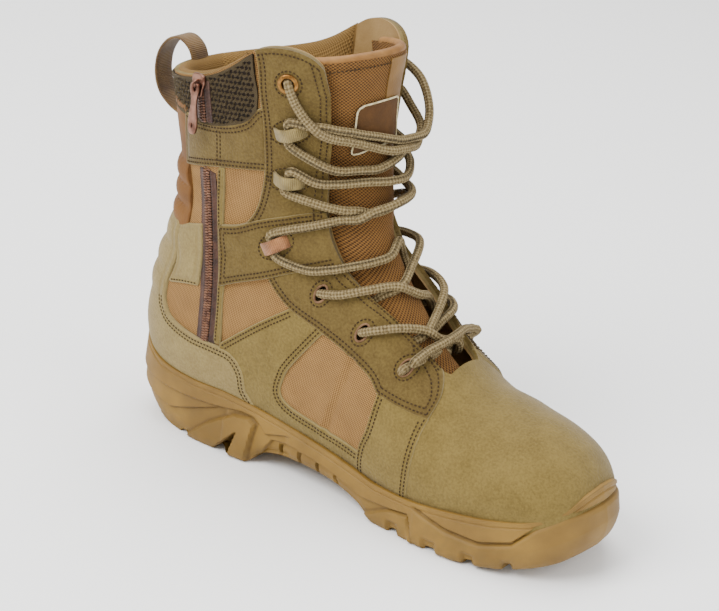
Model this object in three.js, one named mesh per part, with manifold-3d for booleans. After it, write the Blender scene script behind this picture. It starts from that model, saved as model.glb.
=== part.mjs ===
// A side-zip combat boot, left foot, built as its maker's pieces: sole, upper, insole, tongue,
// lacing hardware, lace crossings, zip and pull loop. Millimetres, toe towards +X, +Y is the outer
// side of the foot, +Z up, and the treads stand on z = 0.
import * as THREE from 'three';
import { mergeVertices } from 'three/addons/utils/BufferGeometryUtils.js';
import Module from 'manifold-3d';

const wasm = await Module();
wasm.setup();

// ---- driving sizes -------------------------------------------------------------------------
const ORIGIN_SHIFT = 5.8;      // the origin lies under the middle of the boot with its pull loop
const WALL = 2.6;              // leather, lining and foam of the upper
const GAP = 0.3;               // air between pieces that touch
const RINGS = 28;              // sections of the form that the solids use
const SPOKES = 30;             // points round each section
const SOLE_STATIONS = 36;
const INSOLE_THICKNESS = 3.2;
const LASTING_MARGIN = 14;     // the upper's turned-in edge that the insole lies on
const TONGUE_PAD = 6;
const TONGUE_OVERLAP = 9;      // the tongue reaches this far behind each facing
const LACE_RADIUS = 2.4;
const LACE_LIFT = 3.6;         // a lace's middle above the form
const CROSSING_REACH = 0.58;   // the share of the way to its lacing points that a crossing runs
const BAR_REACH = 0.74;
const HOLE_RADIUS = 3;
const WEBBING = 1.5;

// The form of the last, in sections that fan from the toe round the instep to the collar.
// frontX to backZ: the section's ends in side view. middle: its centre line across. outer, inner:
// its widest half widths. share: where the widest point lies, from front to back. frontPower,
// backPower: how square each end is.
const SECTION_COLUMNS = ['frontX', 'frontZ', 'backX', 'backZ', 'middle', 'outer', 'inner', 'share',
  'frontPower', 'backPower'];
const SECTIONS = [
  [146.5, 38.0, 146.5, 30.0, -4, 2.5, 2.5, 0.50, 2.00, 2.2],
  [144.6, 47.5, 144.6, 22.0, -4, 16.0, 16.0, 0.52, 1.95, 2.6],
  [138.8, 56.5, 138.8, 17.5, -3, 27.0, 27.0, 0.55, 1.90, 3.2],
  [128.5, 64.0, 128.5, 15.0, -2, 35.8, 35.5, 0.58, 1.85, 3.4],
  [112.0, 70.0, 112.0, 13.0, -1, 42.5, 41.5, 0.60, 1.85, 3.6],
  [92.0, 72.0, 92.0, 11.5, 1, 47.0, 45.5, 0.62, 1.85, 3.6],
  [68.0, 77.0, 68.0, 11.0, 1, 48.5, 46.5, 0.65, 1.90, 3.6],
  [44.0, 94.0, 42.0, 12.0, 0, 46.0, 43.5, 0.68, 1.90, 3.6],
  [23.0, 117.5, 10.0, 15.0, 0, 41.8, 40.2, 0.69, 1.90, 3.6],
  [8.5, 137.0, -30.0, 18.0, 0, 39.5, 38.3, 0.66, 1.90, 3.6],
  [2.5, 153.0, -80.0, 20.0, 0, 38.8, 38.5, 0.62, 1.90, 3.6],
  [-1.5, 168.0, -124.0, 20.5, 0, 39.5, 39.5, 0.58, 1.90, 3.3],
  [-3.0, 179.5, -145.5, 48.0, 0, 40.0, 40.0, 0.57, 1.90, 2.6],
  [-5.0, 189.0, -142.5, 87.0, 0, 40.0, 40.0, 0.56, 1.90, 2.3],
  [-6.5, 198.0, -134.0, 120.0, 0, 41.0, 41.0, 0.54, 2.00, 2.1],
  [-7.5, 210.0, -132.0, 150.0, 0, 44.0, 44.0, 0.53, 2.00, 2.1],
  [-7.0, 224.0, -136.5, 180.0, 0, 47.5, 47.5, 0.52, 2.00, 2.1],
  [-5.0, 240.0, -143.0, 212.0, 0, 50.5, 50.5, 0.52, 2.00, 2.1],
  [-4.0, 258.0, -147.0, 240.0, 0, 52.0, 52.0, 0.52, 2.00, 2.1],
];
const column = (name) => SECTION_COLUMNS.indexOf(name);

// The sole in plan and side view, heel to toe. outer, inner: its edges across. top: the rand's
// edge. bottom: the tread. tuck: how far the tread lies inside the wall. knee: how high the wall
// is rounded. lean: how far the rand's edge leans in.
const SOLE = [
  { x: -150.0, outer: 0.0, inner: 0.0, top: 76.0, bottom: 3.0, tuck: 20, knee: 24, lean: 4.0 },
  { x: -148.3, outer: 12.0, inner: -12.0, top: 71.0, bottom: 2.5, tuck: 19, knee: 23, lean: 3.6 },
  { x: -143.5, outer: 22.0, inner: -22.0, top: 58.0, bottom: 2.0, tuck: 17, knee: 21, lean: 2.4 },
  { x: -135.0, outer: 30.5, inner: -30.5, top: 45.5, bottom: 1.0, tuck: 14, knee: 18, lean: 1.2 },
  { x: -119.0, outer: 37.5, inner: -37.5, top: 39.5, bottom: 0.0, tuck: 9, knee: 14, lean: 0.8 },
  { x: -95.0, outer: 40.5, inner: -40.0, top: 37.0, bottom: 0.0, tuck: 4, knee: 8, lean: 0.8 },
  { x: -72.0, outer: 41.0, inner: -40.0, top: 37.0, bottom: 0.0, tuck: 3, knee: 6, lean: 0.8 },
  { x: -55.0, outer: 41.0, inner: -39.5, top: 35.5, bottom: 0.0, tuck: 3, knee: 6, lean: 0.8 },
  { x: -46.0, outer: 41.0, inner: -39.5, top: 34.5, bottom: 8.0, tuck: 4, knee: 6, lean: 0.8 },
  { x: -30.0, outer: 41.0, inner: -39.5, top: 32.5, bottom: 11.5, tuck: 5, knee: 6, lean: 0.8 },
  { x: 0.0, outer: 43.5, inner: -41.5, top: 28.5, bottom: 11.0, tuck: 5, knee: 6, lean: 0.8 },
  { x: 22.0, outer: 46.5, inner: -44.0, top: 25.0, bottom: 6.5, tuck: 4, knee: 6, lean: 0.8 },
  { x: 36.0, outer: 49.0, inner: -46.0, top: 23.0, bottom: 0.0, tuck: 3, knee: 6, lean: 0.8 },
  { x: 60.0, outer: 52.0, inner: -48.5, top: 23.5, bottom: 0.0, tuck: 3, knee: 6, lean: 0.8 },
  { x: 84.0, outer: 51.5, inner: -49.0, top: 26.5, bottom: 0.0, tuck: 3, knee: 6, lean: 0.8 },
  { x: 108.0, outer: 47.5, inner: -46.5, top: 30.0, bottom: 2.0, tuck: 4, knee: 8, lean: 0.8 },
  { x: 127.0, outer: 39.0, inner: -40.5, top: 34.0, bottom: 5.5, tuck: 6, knee: 12, lean: 1.0 },
  { x: 141.0, outer: 26.5, inner: -31.0, top: 40.5, bottom: 9.0, tuck: 8, knee: 16, lean: 2.0 },
  { x: 148.5, outer: 12.5, inner: -19.0, top: 47.5, bottom: 12.0, tuck: 9, knee: 18, lean: 3.6 },
  { x: 151.0, outer: -3.0, inner: -3.0, top: 50.0, bottom: 13.0, tuck: 9, knee: 18, lean: 4.4 },
];
const SOLE_ROWS = SOLE.map((row) => Object.values(row));

// The rim of the collar in side view: low behind for the tendon, high at the facings.
const RIM = [
  { x: -160, z: 202 }, { x: -140, z: 203 }, { x: -119, z: 207.5 }, { x: -98, z: 213.5 },
  { x: -85, z: 219 }, { x: -74, z: 226 }, { x: -62, z: 235.5 }, { x: -52, z: 239.5 },
  { x: -41, z: 240 }, { x: -32, z: 237 }, { x: -26, z: 230 }, { x: -21, z: 216 },
];

// Half the width of the throat along the form, from the vamp to the collar.
const THROAT = [
  { at: 6.55, half: 13.0 }, { at: 6.70, half: 15.5 }, { at: 7.10, half: 17.0 },
  { at: 7.90, half: 20.5 }, { at: 8.70, half: 23.5 }, { at: 9.60, half: 25.5 },
  { at: 10.70, half: 26.0 }, { at: 11.80, half: 26.0 }, { at: 12.60, half: 25.5 },
  { at: 14.50, half: 28.0 }, { at: 16.00, half: 32.0 }, { at: 17.00, half: 37.0 },
  { at: 17.90, half: 40.0 },
];

// The lacing points on each facing in side view, from the collar down.
const LACING = [
  { kind: 'ring', x: -43, z: 222 },
  { kind: 'loop', x: -42, z: 196 },
  { kind: 'loop', x: -43, z: 169 },
  { kind: 'loop', x: -47, z: 131 },
  { kind: 'hole', x: -18, z: 111 },
  { kind: 'hole', x: 9.5, z: 97 },
  { kind: 'hole', x: 36.5, z: 85 },
];

// The zip's line on the inner side in side view, from its foot to its slider.
const ZIP = [
  { x: -82.5, z: 67 }, { x: -81.8, z: 85 }, { x: -82.2, z: 103 }, { x: -84.0, z: 123 },
  { x: -86.8, z: 145 }, { x: -89.6, z: 165 }, { x: -92.5, z: 186 }, { x: -94.6, z: 202 },
];
const SLIDER_AT = { x: -95.2, z: 209 };
const ZIP_WIDTH = 9;
const ZIP_THICKNESS = 2;

// The tread's grooves across the whole sole: middle, width and depth.
const GROOVES = [
  { x: -101, width: 6, depth: 4 }, { x: -73, width: 9, depth: 5 }, { x: 50, width: 6, depth: 5 },
  { x: 75, width: 7, depth: 5 }, { x: 98, width: 6, depth: 6 }, { x: 119, width: 5, depth: 8 },
];
// The deep notches in the sole's sides, as triangles: foot from, foot to, and tip (x, z).
const NOTCHES = [
  { from: -80, to: -68, tip: [-61, 17] },
  { from: 47, to: 54, tip: [53, 9] },
];
const NOTCH_REACH = 13;

// The pull loop's middle line behind the collar, from inside the collar over to the back (x, z).
const PULL_LOOP = [
  [-133.2, 189], [-135.2, 201], [-138.8, 210], [-146.5, 214.3], [-154.5, 211.5], [-160.3, 203],
  [-161.6, 192], [-158.2, 182], [-150.5, 175.5], [-141.5, 171.5], [-137.2, 166],
];
const PULL_LOOP_WIDTH = 14;

const SLIDER = { width: 8.4, height: 11, thickness: 3, lift: 0.8, arch: 1.5, bar: 1.1 };
const TAB = { width: 5.6, length: 26, thickness: 1.5, eye: 4.2, rail: 1.2, bar: 0.8 };

// ---- curves and tables ---------------------------------------------------------------------
// A smooth curve through the rows of a table, at `share` of the way along it.
function blendRows(rows, share) {
  const last = rows.length - 1;
  const place = THREE.MathUtils.clamp(share, 0, 1) * last;
  const index = Math.min(Math.floor(place), last - 1);
  const t = place - index;
  const pick = (i) => rows[THREE.MathUtils.clamp(i, 0, last)];
  const [a, b, c, d] = [pick(index - 1), pick(index), pick(index + 1), pick(index + 2)];
  return b.map((_, k) => 0.5 * (2 * b[k] + (c[k] - a[k]) * t
    + (2 * a[k] - 5 * b[k] + 4 * c[k] - d[k]) * t * t
    + (3 * b[k] - a[k] - 3 * c[k] + d[k]) * t * t * t));
}

// A straight-line reading of one column of a table against another.
function readTable(table, key, column, value) {
  let i = 0;
  while (i < table.length - 2 && value > table[i + 1][key]) i += 1;
  const [low, high] = [table[i], table[i + 1]];
  const t = THREE.MathUtils.clamp((value - low[key]) / (high[key] - low[key]), 0, 1);
  return THREE.MathUtils.lerp(low[column], high[column], t);
}

const signedPower = (value, power) => Math.sign(value) * Math.abs(value) ** power;

// A point on the last's form. at: the section, 0 at the toe and 18 at the collar. angle: 0 at the
// front, 90 on the outer side, -90 on the inner side, 180 at the back or underneath.
function surfacePoint(at, angle) {
  const row = blendRows(SECTIONS, at / (SECTIONS.length - 1));
  const [frontX, frontZ, backX, backZ, middle, outer, inner, share, frontPower, backPower] = row;
  const cosine = Math.cos(THREE.MathUtils.degToRad(angle));
  const sine = Math.sin(THREE.MathUtils.degToRad(angle));
  const power = 2 / (cosine >= 0 ? frontPower : backPower);
  const reach = (cosine >= 0 ? share : 1 - share) * signedPower(cosine, power) - share;
  const across = (sine >= 0 ? outer : inner) * signedPower(sine, power);
  return new THREE.Vector3(frontX + (frontX - backX) * reach, middle + across,
    frontZ + (frontZ - backZ) * reach);
}

// The form's outward direction, and the direction up along the form, at a point on it.
function surfaceFrame(at, angle) {
  const along = surfacePoint(at + 0.03, angle).sub(surfacePoint(at - 0.03, angle)).normalize();
  const round = surfacePoint(at, angle + 2).sub(surfacePoint(at, angle - 2));
  const out = new THREE.Vector3().crossVectors(round, along).normalize();
  const side = new THREE.Vector3().crossVectors(along, out).normalize();
  return { out, along, side };
}

// A point `lift` outside the form.
function formPoint(at, angle, lift) {
  return surfacePoint(at, angle).addScaledVector(surfaceFrame(at, angle).out, lift);
}

// The place (at, angle) on the form of a point in side view; side 1 is outer and -1 inner.
function sidePlace(x, z, side) {
  const last = SECTIONS.length - 1;
  const ends = (at) => blendRows(SECTIONS, at / last);
  const beyond = (at) => {
    const [frontX, frontZ, backX, backZ] = ends(at);
    return (x - frontX) * (backZ - frontZ) - (z - frontZ) * (backX - frontX);
  };
  let [low, high] = [0, last];
  for (let step = 0; step < 40; step += 1) {
    const middle = (low + high) / 2;
    if (beyond(middle) > 0) low = middle; else high = middle;
  }
  const [frontX, frontZ, backX, backZ, , , , share, frontPower, backPower] = ends(low);
  const length = Math.hypot(frontX - backX, frontZ - backZ);
  const depth = Math.hypot(x - frontX, z - frontZ) / length;
  const ahead = depth < share;
  const along = ahead ? (share - depth) / share : (share - depth) / (1 - share);
  const power = ahead ? frontPower : backPower;
  const cosine = signedPower(along, power / 2);
  const sine = Math.sqrt(Math.max(0, 1 - cosine * cosine));
  return { at: low, angle: THREE.MathUtils.radToDeg(Math.atan2(sine, cosine)) * side };
}

// ---- closed meshes and solids --------------------------------------------------------------
function geometryFrom(points, faces) {
  const geometry = new THREE.BufferGeometry();
  const position = points.flatMap((p) => [p.x, p.y, p.z]);
  geometry.setAttribute('position', new THREE.Float32BufferAttribute(position, 3));
  geometry.setIndex(faces.flat());
  return geometry;
}

function solid(geometry) {
  const bare = geometry.clone();
  bare.deleteAttribute('normal');
  bare.deleteAttribute('uv');
  const merged = mergeVertices(bare, 1e-4);
  const body = new wasm.Manifold(new wasm.Mesh({
    numProp: 3,
    vertProperties: Float32Array.from(merged.attributes.position.array),
    triVerts: Uint32Array.from(merged.index.array),
  }));
  if (body.volume() < 0) throw new Error('a solid is inside out');
  return body;
}

function geometryOf(body) {
  const { vertProperties, triVerts, numProp } = body.getMesh();
  const geometry = new THREE.BufferGeometry();
  const count = vertProperties.length / numProp;
  const position = new Float32Array(count * 3);
  for (let i = 0; i < count; i += 1) {
    for (let k = 0; k < 3; k += 1) position[i * 3 + k] = vertProperties[i * numProp + k];
  }
  geometry.setAttribute('position', new THREE.BufferAttribute(position, 3));
  geometry.setIndex(Array.from(triVerts));
  return geometry.toNonIndexed();
}

// Joins rings of equally many points into one closed body, with a fan over each end.
function loft(rings) {
  const points = rings.flat();
  const count = rings[0].length;
  const faces = [];
  for (let r = 0; r < rings.length - 1; r += 1) {
    for (let i = 0; i < count; i += 1) {
      const j = (i + 1) % count;
      const [a, b, c, d] = [r * count + i, r * count + j, (r + 1) * count + i, (r + 1) * count + j];
      faces.push([a, b, d], [a, d, c]);
    }
  }
  const cap = (ring, start, flip) => {
    const centre = ring.reduce((sum, p) => sum.add(p), new THREE.Vector3()).divideScalar(count);
    points.push(centre);
    for (let i = 0; i < count; i += 1) {
      const pair = [start + i, start + ((i + 1) % count)];
      faces.push([...(flip ? pair : pair.reverse()), points.length - 1]);
    }
  };
  cap(rings[0], 0, false);
  cap(rings[rings.length - 1], (rings.length - 1) * count, true);
  return geometryFrom(points, faces);
}

// A sheet with thickness: two grids of points, the outer one and the one under it.
function sheet(outer, under) {
  const rows = outer.length;
  const columns = outer[0].length;
  const points = [...outer.flat(), ...under.flat()];
  const index = (layer, r, c) => layer * rows * columns + r * columns + c;
  const faces = [];
  const quad = (a, b, c, d) => faces.push([a, b, c], [a, c, d]);
  for (let r = 0; r < rows - 1; r += 1) {
    for (let c = 0; c < columns - 1; c += 1) {
      quad(index(0, r, c), index(0, r, c + 1), index(0, r + 1, c + 1), index(0, r + 1, c));
      quad(index(1, r, c), index(1, r + 1, c), index(1, r + 1, c + 1), index(1, r, c + 1));
    }
    const edge = columns - 1;
    quad(index(0, r, 0), index(0, r + 1, 0), index(1, r + 1, 0), index(1, r, 0));
    quad(index(0, r, edge), index(1, r, edge), index(1, r + 1, edge), index(0, r + 1, edge));
  }
  for (let c = 0; c < columns - 1; c += 1) {
    const top = rows - 1;
    quad(index(0, 0, c), index(1, 0, c), index(1, 0, c + 1), index(0, 0, c + 1));
    quad(index(0, top, c), index(0, top, c + 1), index(1, top, c + 1), index(1, top, c));
  }
  return solid(geometryFrom(points, faces));
}

// A flat outline in side view, [x, z] pairs, drawn out across the boot between two y values.
function sideSlab(outline, fromY, toY) {
  const shape = new THREE.Shape(outline.map(([x, z]) => new THREE.Vector2(x, z)));
  const geometry = new THREE.ExtrudeGeometry(shape, { depth: toY - fromY, bevelEnabled: false });
  geometry.rotateX(Math.PI / 2);
  geometry.translate(0, toY, 0);
  return solid(geometry);
}

// Places a geometry made in (x, y, z) = (side, up, out) at a point with its own frame.
function placed(geometry, origin, side, up, out) {
  geometry.applyMatrix4(new THREE.Matrix4().makeBasis(side, up, out).setPosition(origin));
  return geometry;
}

const polygon = (sides, radius) => new THREE.Shape(Array.from({ length: sides }, (_, i) => {
  const turn = (i / sides) * Math.PI * 2;
  return new THREE.Vector2(Math.cos(turn) * radius, Math.sin(turn) * radius);
}));

function tube(points, radius, steps) {
  return new THREE.ExtrudeGeometry(polygon(8, radius), {
    steps, bevelEnabled: false, extrudePath: new THREE.CatmullRomCurve3(points),
  });
}

// ---- the last's form and what is cut from it -----------------------------------------------
// The whole form, `lift` outside the upper's surface, or inside it where that is negative.
function lastForm(lift) {
  const rings = Array.from({ length: RINGS }, (_, r) => {
    const at = (r / (RINGS - 1)) * (SECTIONS.length - 1);
    return Array.from({ length: SPOKES }, (__, i) => formPoint(at, (i / SPOKES) * 360, lift));
  });
  return solid(loft(rings));
}

// The height of the form's underside at a place along the foot.
function bedHeight(x) {
  const underFoot = SECTIONS.slice(1, 12).reverse();
  const bed = underFoot.map((row) => ({ x: row[column('backX')], z: row[column('backZ')] }));
  return readTable(bed, 'x', 'z', x);
}

// The sole's edge in plan, with its heights, as stations from heel to toe.
function soleStations() {
  return Array.from({ length: SOLE_STATIONS }, (_, i) => {
    const row = blendRows(SOLE_ROWS, i / (SOLE_STATIONS - 1));
    const [x, outer, inner, top, bottom, tuck, knee, lean] = row;
    const tread = bottom < 0.4 ? 0 : bottom;
    return { x, outer, inner, top, bottom: tread, tuck, knee, lean };
  });
}

// One closed line round the sole: `inset` and `height` are worked out at each station.
function soleLoop(stations, inset, height) {
  const ends = stations.length - 1;
  const edge = [...stations.map((s) => ({ s, y: s.outer })),
    ...stations.slice(1, ends).reverse().map((s) => ({ s, y: s.inner }))];
  const turned = edge.map(({ s, y }, i) => {
    const before = edge[(i + edge.length - 1) % edge.length];
    const after = edge[(i + 1) % edge.length];
    const dx = after.s.x - before.s.x;
    const dy = after.y - before.y;
    const scale = inset(s) / Math.hypot(dx, dy);
    return new THREE.Vector3(s.x + dy * scale, y - dx * scale, height(s));
  });
  return turned.reverse();
}

// A body from stacked loops, whose ends are closed by strips across the sole.
function stackLoops(loops) {
  const points = loops.flat();
  const count = loops[0].length;
  const faces = [];
  for (let level = 0; level < loops.length - 1; level += 1) {
    for (let i = 0; i < count; i += 1) {
      const j = (i + 1) % count;
      const [low, high] = [level * count, (level + 1) * count];
      faces.push([low + i, low + j, high + j], [low + i, high + j, high + i]);
    }
  }
  const heel = count - 1;
  const strip = (start, flip) => {
    for (let k = 0; k < count / 2; k += 1) {
      const corners = [heel - k, heel - k - 1, (heel + k + 1) % count, (heel + k) % count];
      const quad = corners.map((i) => start + i);
      const triangles = [[quad[0], quad[1], quad[2]], [quad[0], quad[2], quad[3]]];
      for (const triangle of triangles) {
        if (new Set(triangle).size === 3) faces.push(flip ? triangle.reverse() : triangle);
      }
    }
  };
  strip(0, false);
  strip((loops.length - 1) * count, true);
  return solid(geometryFrom(points, faces));
}

function soleForm() {
  const stations = soleStations();
  const rounding = [0, 0.35, 0.7, 1];
  const wall = rounding.map((t) => soleLoop(stations,
    (s) => s.tuck * (1 - Math.sin((t * Math.PI) / 2)),
    (s) => s.bottom + s.knee * (1 - Math.cos((t * Math.PI) / 2))));
  const rand = soleLoop(stations, (s) => s.lean, (s) => s.top);
  return stackLoops([...wall, rand]);
}

// ---- the pieces ----------------------------------------------------------------------------
function makeSole() {
  let body = soleForm().subtract(lastForm(GAP));
  for (const { x, width, depth } of GROOVES) {
    const [foot, crown] = [width * 0.5, width * 0.3];
    const outline = [[x - foot, -1], [x + foot, -1], [x + crown, depth], [x - crown, depth]];
    body = body.subtract(sideSlab(outline, -70, 70));
  }
  for (const { from, to, tip } of NOTCHES) {
    const outline = [[from, -1], [to, -1], tip];
    const outerEdge = readTable(SOLE, 'x', 'outer', tip[0]);
    const innerEdge = readTable(SOLE, 'x', 'inner', tip[0]);
    body = body.subtract(sideSlab(outline, outerEdge - NOTCH_REACH, 70));
    body = body.subtract(sideSlab(outline, -70, innerEdge + NOTCH_REACH));
  }
  return body;
}

// Everything above the collar's rim.
function collarCutter() {
  const rim = RIM.map(({ x, z }) => [x, z]);
  return sideSlab([...rim, [60, 200], [60, 300], [-190, 300], [-190, 202]], -80, 80);
}

// The throat, as a slot that follows the instep.
function throatCutter() {
  const rings = THROAT.map(({ at, half }) => {
    const front = surfacePoint(at, 0);
    const back = surfacePoint(at, 180);
    const inward = back.sub(front).normalize();
    const corners = [[-18, -half], [-18, half], [34, half], [34, -half]];
    return corners.map(([depth, y]) => front.clone().addScaledVector(inward, depth).setY(y));
  });
  return solid(loft(rings));
}

// The opening underneath, inside the lasting margin.
function bottomCutter() {
  const stations = soleStations();
  const plan = (z) => soleLoop(stations, () => LASTING_MARGIN, () => z);
  const block = stackLoops([plan(0), plan(80)]);
  const reach = [-132, -124, -80, -30, 10, 42, 68, 112, 132];
  const top = reach.map((x) => [x, bedHeight(x) + WALL + 0.2]).reverse();
  return block.intersect(sideSlab([[-132, 0], [132, 0], ...top], -60, 60));
}

function makeUpper() {
  let body = lastForm(0).subtract(lastForm(-WALL));
  body = body.subtract(collarCutter()).subtract(throatCutter()).subtract(bottomCutter());
  for (const { kind, at, angle } of lacingPlaces) {
    if (kind === 'loop') continue;
    for (const side of [1, -1]) {
      const { out, along, side: across } = surfaceFrame(at, angle * side);
      const hole = new THREE.ExtrudeGeometry(polygon(10, HOLE_RADIUS),
        { depth: 12, bevelEnabled: false });
      placed(hole, formPoint(at, angle * side, -7), across, along, out);
      body = body.subtract(solid(hole));
    }
  }
  return body;
}

function makeInsole() {
  const places = [-150, -124, -80, -30, 10, 42, 68, 92, 112, 127.5, 136.5, 150];
  const under = places.map((x) => [x, bedHeight(x) + WALL + GAP]);
  const over = under.map(([x, z]) => [x, z + INSOLE_THICKNESS]).reverse();
  return lastForm(-WALL - GAP).intersect(sideSlab([...under, ...over], -80, 80));
}

// A padded sheet behind the throat, thinner where it runs under the vamp.
function makeTongue() {
  const start = 5.5;
  const end = 16.85;
  const rows = 22;
  const columns = 10;
  const skin = WALL + 0.9;
  const [outer, under] = [[], []];
  for (let r = 0; r < rows; r += 1) {
    const at = THREE.MathUtils.lerp(start, end, r / (rows - 1));
    const row = blendRows(SECTIONS, at / (SECTIONS.length - 1));
    const outerHalf = row[column('outer')];
    const frontPower = row[column('frontPower')];
    const reach = Math.min(readTable(THROAT, 'at', 'half', at) + TONGUE_OVERLAP, outerHalf * 0.93);
    const limit = THREE.MathUtils.radToDeg(Math.asin((reach / outerHalf) ** (frontPower / 2)));
    const pad = THREE.MathUtils.lerp(2.5, TONGUE_PAD, THREE.MathUtils.smoothstep(at, 5.5, 8));
    const line = (depth) => Array.from({ length: columns + 1 }, (_, i) => {
      const share = (i / columns) * 2 - 1;
      const taper = Math.min(1, (1 - Math.abs(share)) * 3 + 0.35);
      return formPoint(at, limit * share, -skin - depth * taper);
    });
    outer.push(line(0));
    under.push(line(pad));
  }
  return sheet(outer, under);
}

// A flat ring with a rounded lip, round a lace's hole.
function makeEyelet(at, angle) {
  const profile = [[2.9, 0], [5.6, 0], [5.6, 0.5], [4.8, 1.1], [3.5, 1.1], [2.9, 0.6], [2.9, 0]];
  const ring = new THREE.LatheGeometry(profile.map(([r, h]) => new THREE.Vector2(r, h)), 14);
  const { out, along, side } = surfaceFrame(at, angle);
  ring.rotateX(Math.PI / 2);
  return solid(placed(ring, formPoint(at, angle, GAP + 0.5), side, along, out));
}

// Webbing folded round on itself, that a lace runs through.
function makeLaceLoop(at, angle) {
  const length = 15;
  const thickness = 5;
  const band = (inset) => new THREE.Shape().absellipse(0, 0, length / 2 - inset,
    thickness / 2 - inset, 0, Math.PI * 2);
  const shape = new THREE.Shape(band(0).getPoints(5));
  shape.holes.push(new THREE.Path(band(1.2).getPoints(5)));
  const geometry = new THREE.ExtrudeGeometry(shape, { depth: 7, bevelEnabled: false });
  const { out, along, side } = surfaceFrame(at, angle);
  const start = formPoint(at, angle, GAP + 0.9 + thickness / 2).addScaledVector(along, 3.5);
  return solid(placed(geometry, start, side, out, along.clone().negate()));
}

// A lace's way across the throat between two lacing points, clear of both facings.
function laceStrand(from, to, sign, reach) {
  const points = Array.from({ length: 9 }, (_, i) => {
    const t = i / 8;
    const share = (1 - 2 * t) * reach;
    const at = THREE.MathUtils.lerp(from.at, to.at, 0.5 - share / 2);
    const angle = THREE.MathUtils.lerp(from.angle, to.angle, 0.5 - share / 2);
    return formPoint(at, angle * share * sign, LACE_LIFT);
  });
  return solid(tube(points, LACE_RADIUS, 9));
}

// A thin strip laid on the form along the zip's line.
function makeZipChain() {
  const curve = new THREE.CatmullRomCurve3(ZIP.map(({ x, z }) => new THREE.Vector3(x, 0, z)));
  const [outer, under] = [[], []];
  for (let i = 0; i <= 20; i += 1) {
    const middle = curve.getPoint(i / 20);
    const tangent = curve.getTangent(i / 20);
    const across = new THREE.Vector3(tangent.z, 0, -tangent.x);
    const line = (lift) => [-1, 0, 1].map((k) => {
      const spot = middle.clone().addScaledVector(across, (k * ZIP_WIDTH) / 2);
      const { at, angle } = sidePlace(spot.x, spot.z, -1);
      return formPoint(at, angle, lift);
    });
    outer.push(line(GAP + ZIP_THICKNESS));
    under.push(line(GAP));
  }
  return sheet(outer, under);
}

// The place and level directions of the slider: side, up and out from the boot.
function sliderFrame() {
  const { at, angle } = sidePlace(SLIDER_AT.x, SLIDER_AT.z, -1);
  const { out } = surfaceFrame(at, angle);
  const level = out.clone().setZ(0).normalize();
  const up = new THREE.Vector3(0, 0, 1);
  const side = new THREE.Vector3().crossVectors(up, level);
  const base = surfacePoint(at, angle);
  const pivot = base.clone().addScaledVector(level, SLIDER.lift + SLIDER.thickness + SLIDER.arch);
  return { base, level, up, side, pivot };
}

function block(frame, side, up, out) {
  const sizes = [side, up, out].map(([low, high]) => high - low);
  const middle = [side, up, out].map(([low, high]) => (high + low) / 2);
  const geometry = new THREE.BoxGeometry(...sizes);
  geometry.translate(...middle);
  return solid(placed(geometry, frame.pivot, frame.side, frame.up, frame.level));
}

function makeSlider() {
  const frame = sliderFrame();
  const { width, height, thickness, arch, bar } = SLIDER;
  const outer = arch + bar;
  const plate = block(frame, [-width / 2, width / 2], [-height / 2, height / 2],
    [-arch - thickness, -arch]);
  const lower = block(frame, [-0.8, 0.8], [-outer, -arch], [-arch - 0.2, outer]);
  const upper = block(frame, [-0.8, 0.8], [arch, outer], [-arch - 0.2, outer]);
  const crown = block(frame, [-0.8, 0.8], [-outer, outer], [arch, outer]);
  return plate.add(lower).add(upper).add(crown);
}

// The pull tab hangs by the bar across its eye.
function makePullTab() {
  const { width, length, thickness, eye, rail, bar } = TAB;
  const frame = sliderFrame();
  const half = width / 2;
  const oneSide = [[half - 0.6, bar], [half, bar - 0.6], [half * 0.8, -9], [half, -length + 5],
    [half * 0.75, -length + 1], [half * 0.3, -length]];
  const otherSide = oneSide.map(([x, y]) => [-x, y]).reverse();
  const outline = [...oneSide, ...otherSide];
  const shape = new THREE.Shape(outline.map(([x, y]) => new THREE.Vector2(x, y)));
  const inner = half - rail;
  shape.holes.push(new THREE.Path([[-inner, -bar], [-inner, -eye], [inner, -eye], [inner, -bar]]
    .map(([x, y]) => new THREE.Vector2(x, y))));
  const geometry = new THREE.ExtrudeGeometry(shape, { depth: thickness, bevelEnabled: false });
  geometry.translate(0, 0, -thickness / 2);
  return solid(placed(geometry, frame.pivot, frame.side, frame.up, frame.level));
}

function makePullLoop() {
  const curve = new THREE.CatmullRomCurve3(PULL_LOOP.map(([x, z]) => new THREE.Vector3(x, 0, z)));
  const [outer, under] = [[], []];
  const steps = 26;
  for (let i = 0; i <= steps; i += 1) {
    const tangent = curve.getTangent(i / steps);
    const out = new THREE.Vector3(tangent.z, 0, -tangent.x).multiplyScalar(WEBBING / 2);
    const edge = (sign) => [-1, 1].map((k) => curve.getPoint(i / steps).addScaledVector(out, sign)
      .setY((k * PULL_LOOP_WIDTH) / 2));
    outer.push(edge(1));
    under.push(edge(-1));
  }
  return sheet(outer, under);
}

// ---- the boot ------------------------------------------------------------------------------
const FINISHES = {
  rubber: { color: 0xb08a4e, roughness: 0.75 },
  suede: { color: 0xa3935f, roughness: 0.95 },
  lining: { color: 0xa67c4a, roughness: 0.9 },
  tongueCloth: { color: 0xa8743f, roughness: 0.9 },
  lace: { color: 0xa69a72, roughness: 0.9 },
  webbing: { color: 0xb08550, roughness: 0.85 },
  zipTape: { color: 0x5a3a30, roughness: 0.6 },
  bronze: { color: 0x7d6148, roughness: 0.4, metalness: 0.8 },
};

const lacingPlaces = LACING.map(({ kind, x, z }) => ({ kind, ...sidePlace(x, z, 1) }));

const boot = new THREE.Group();
boot.position.x = ORIGIN_SHIFT;

function addPiece(name, body, finish) {
  const material = new THREE.MeshStandardMaterial({ metalness: 0, ...FINISHES[finish] });
  const mesh = new THREE.Mesh(geometryOf(body), material);
  mesh.name = name;
  boot.add(mesh);
}

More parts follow.
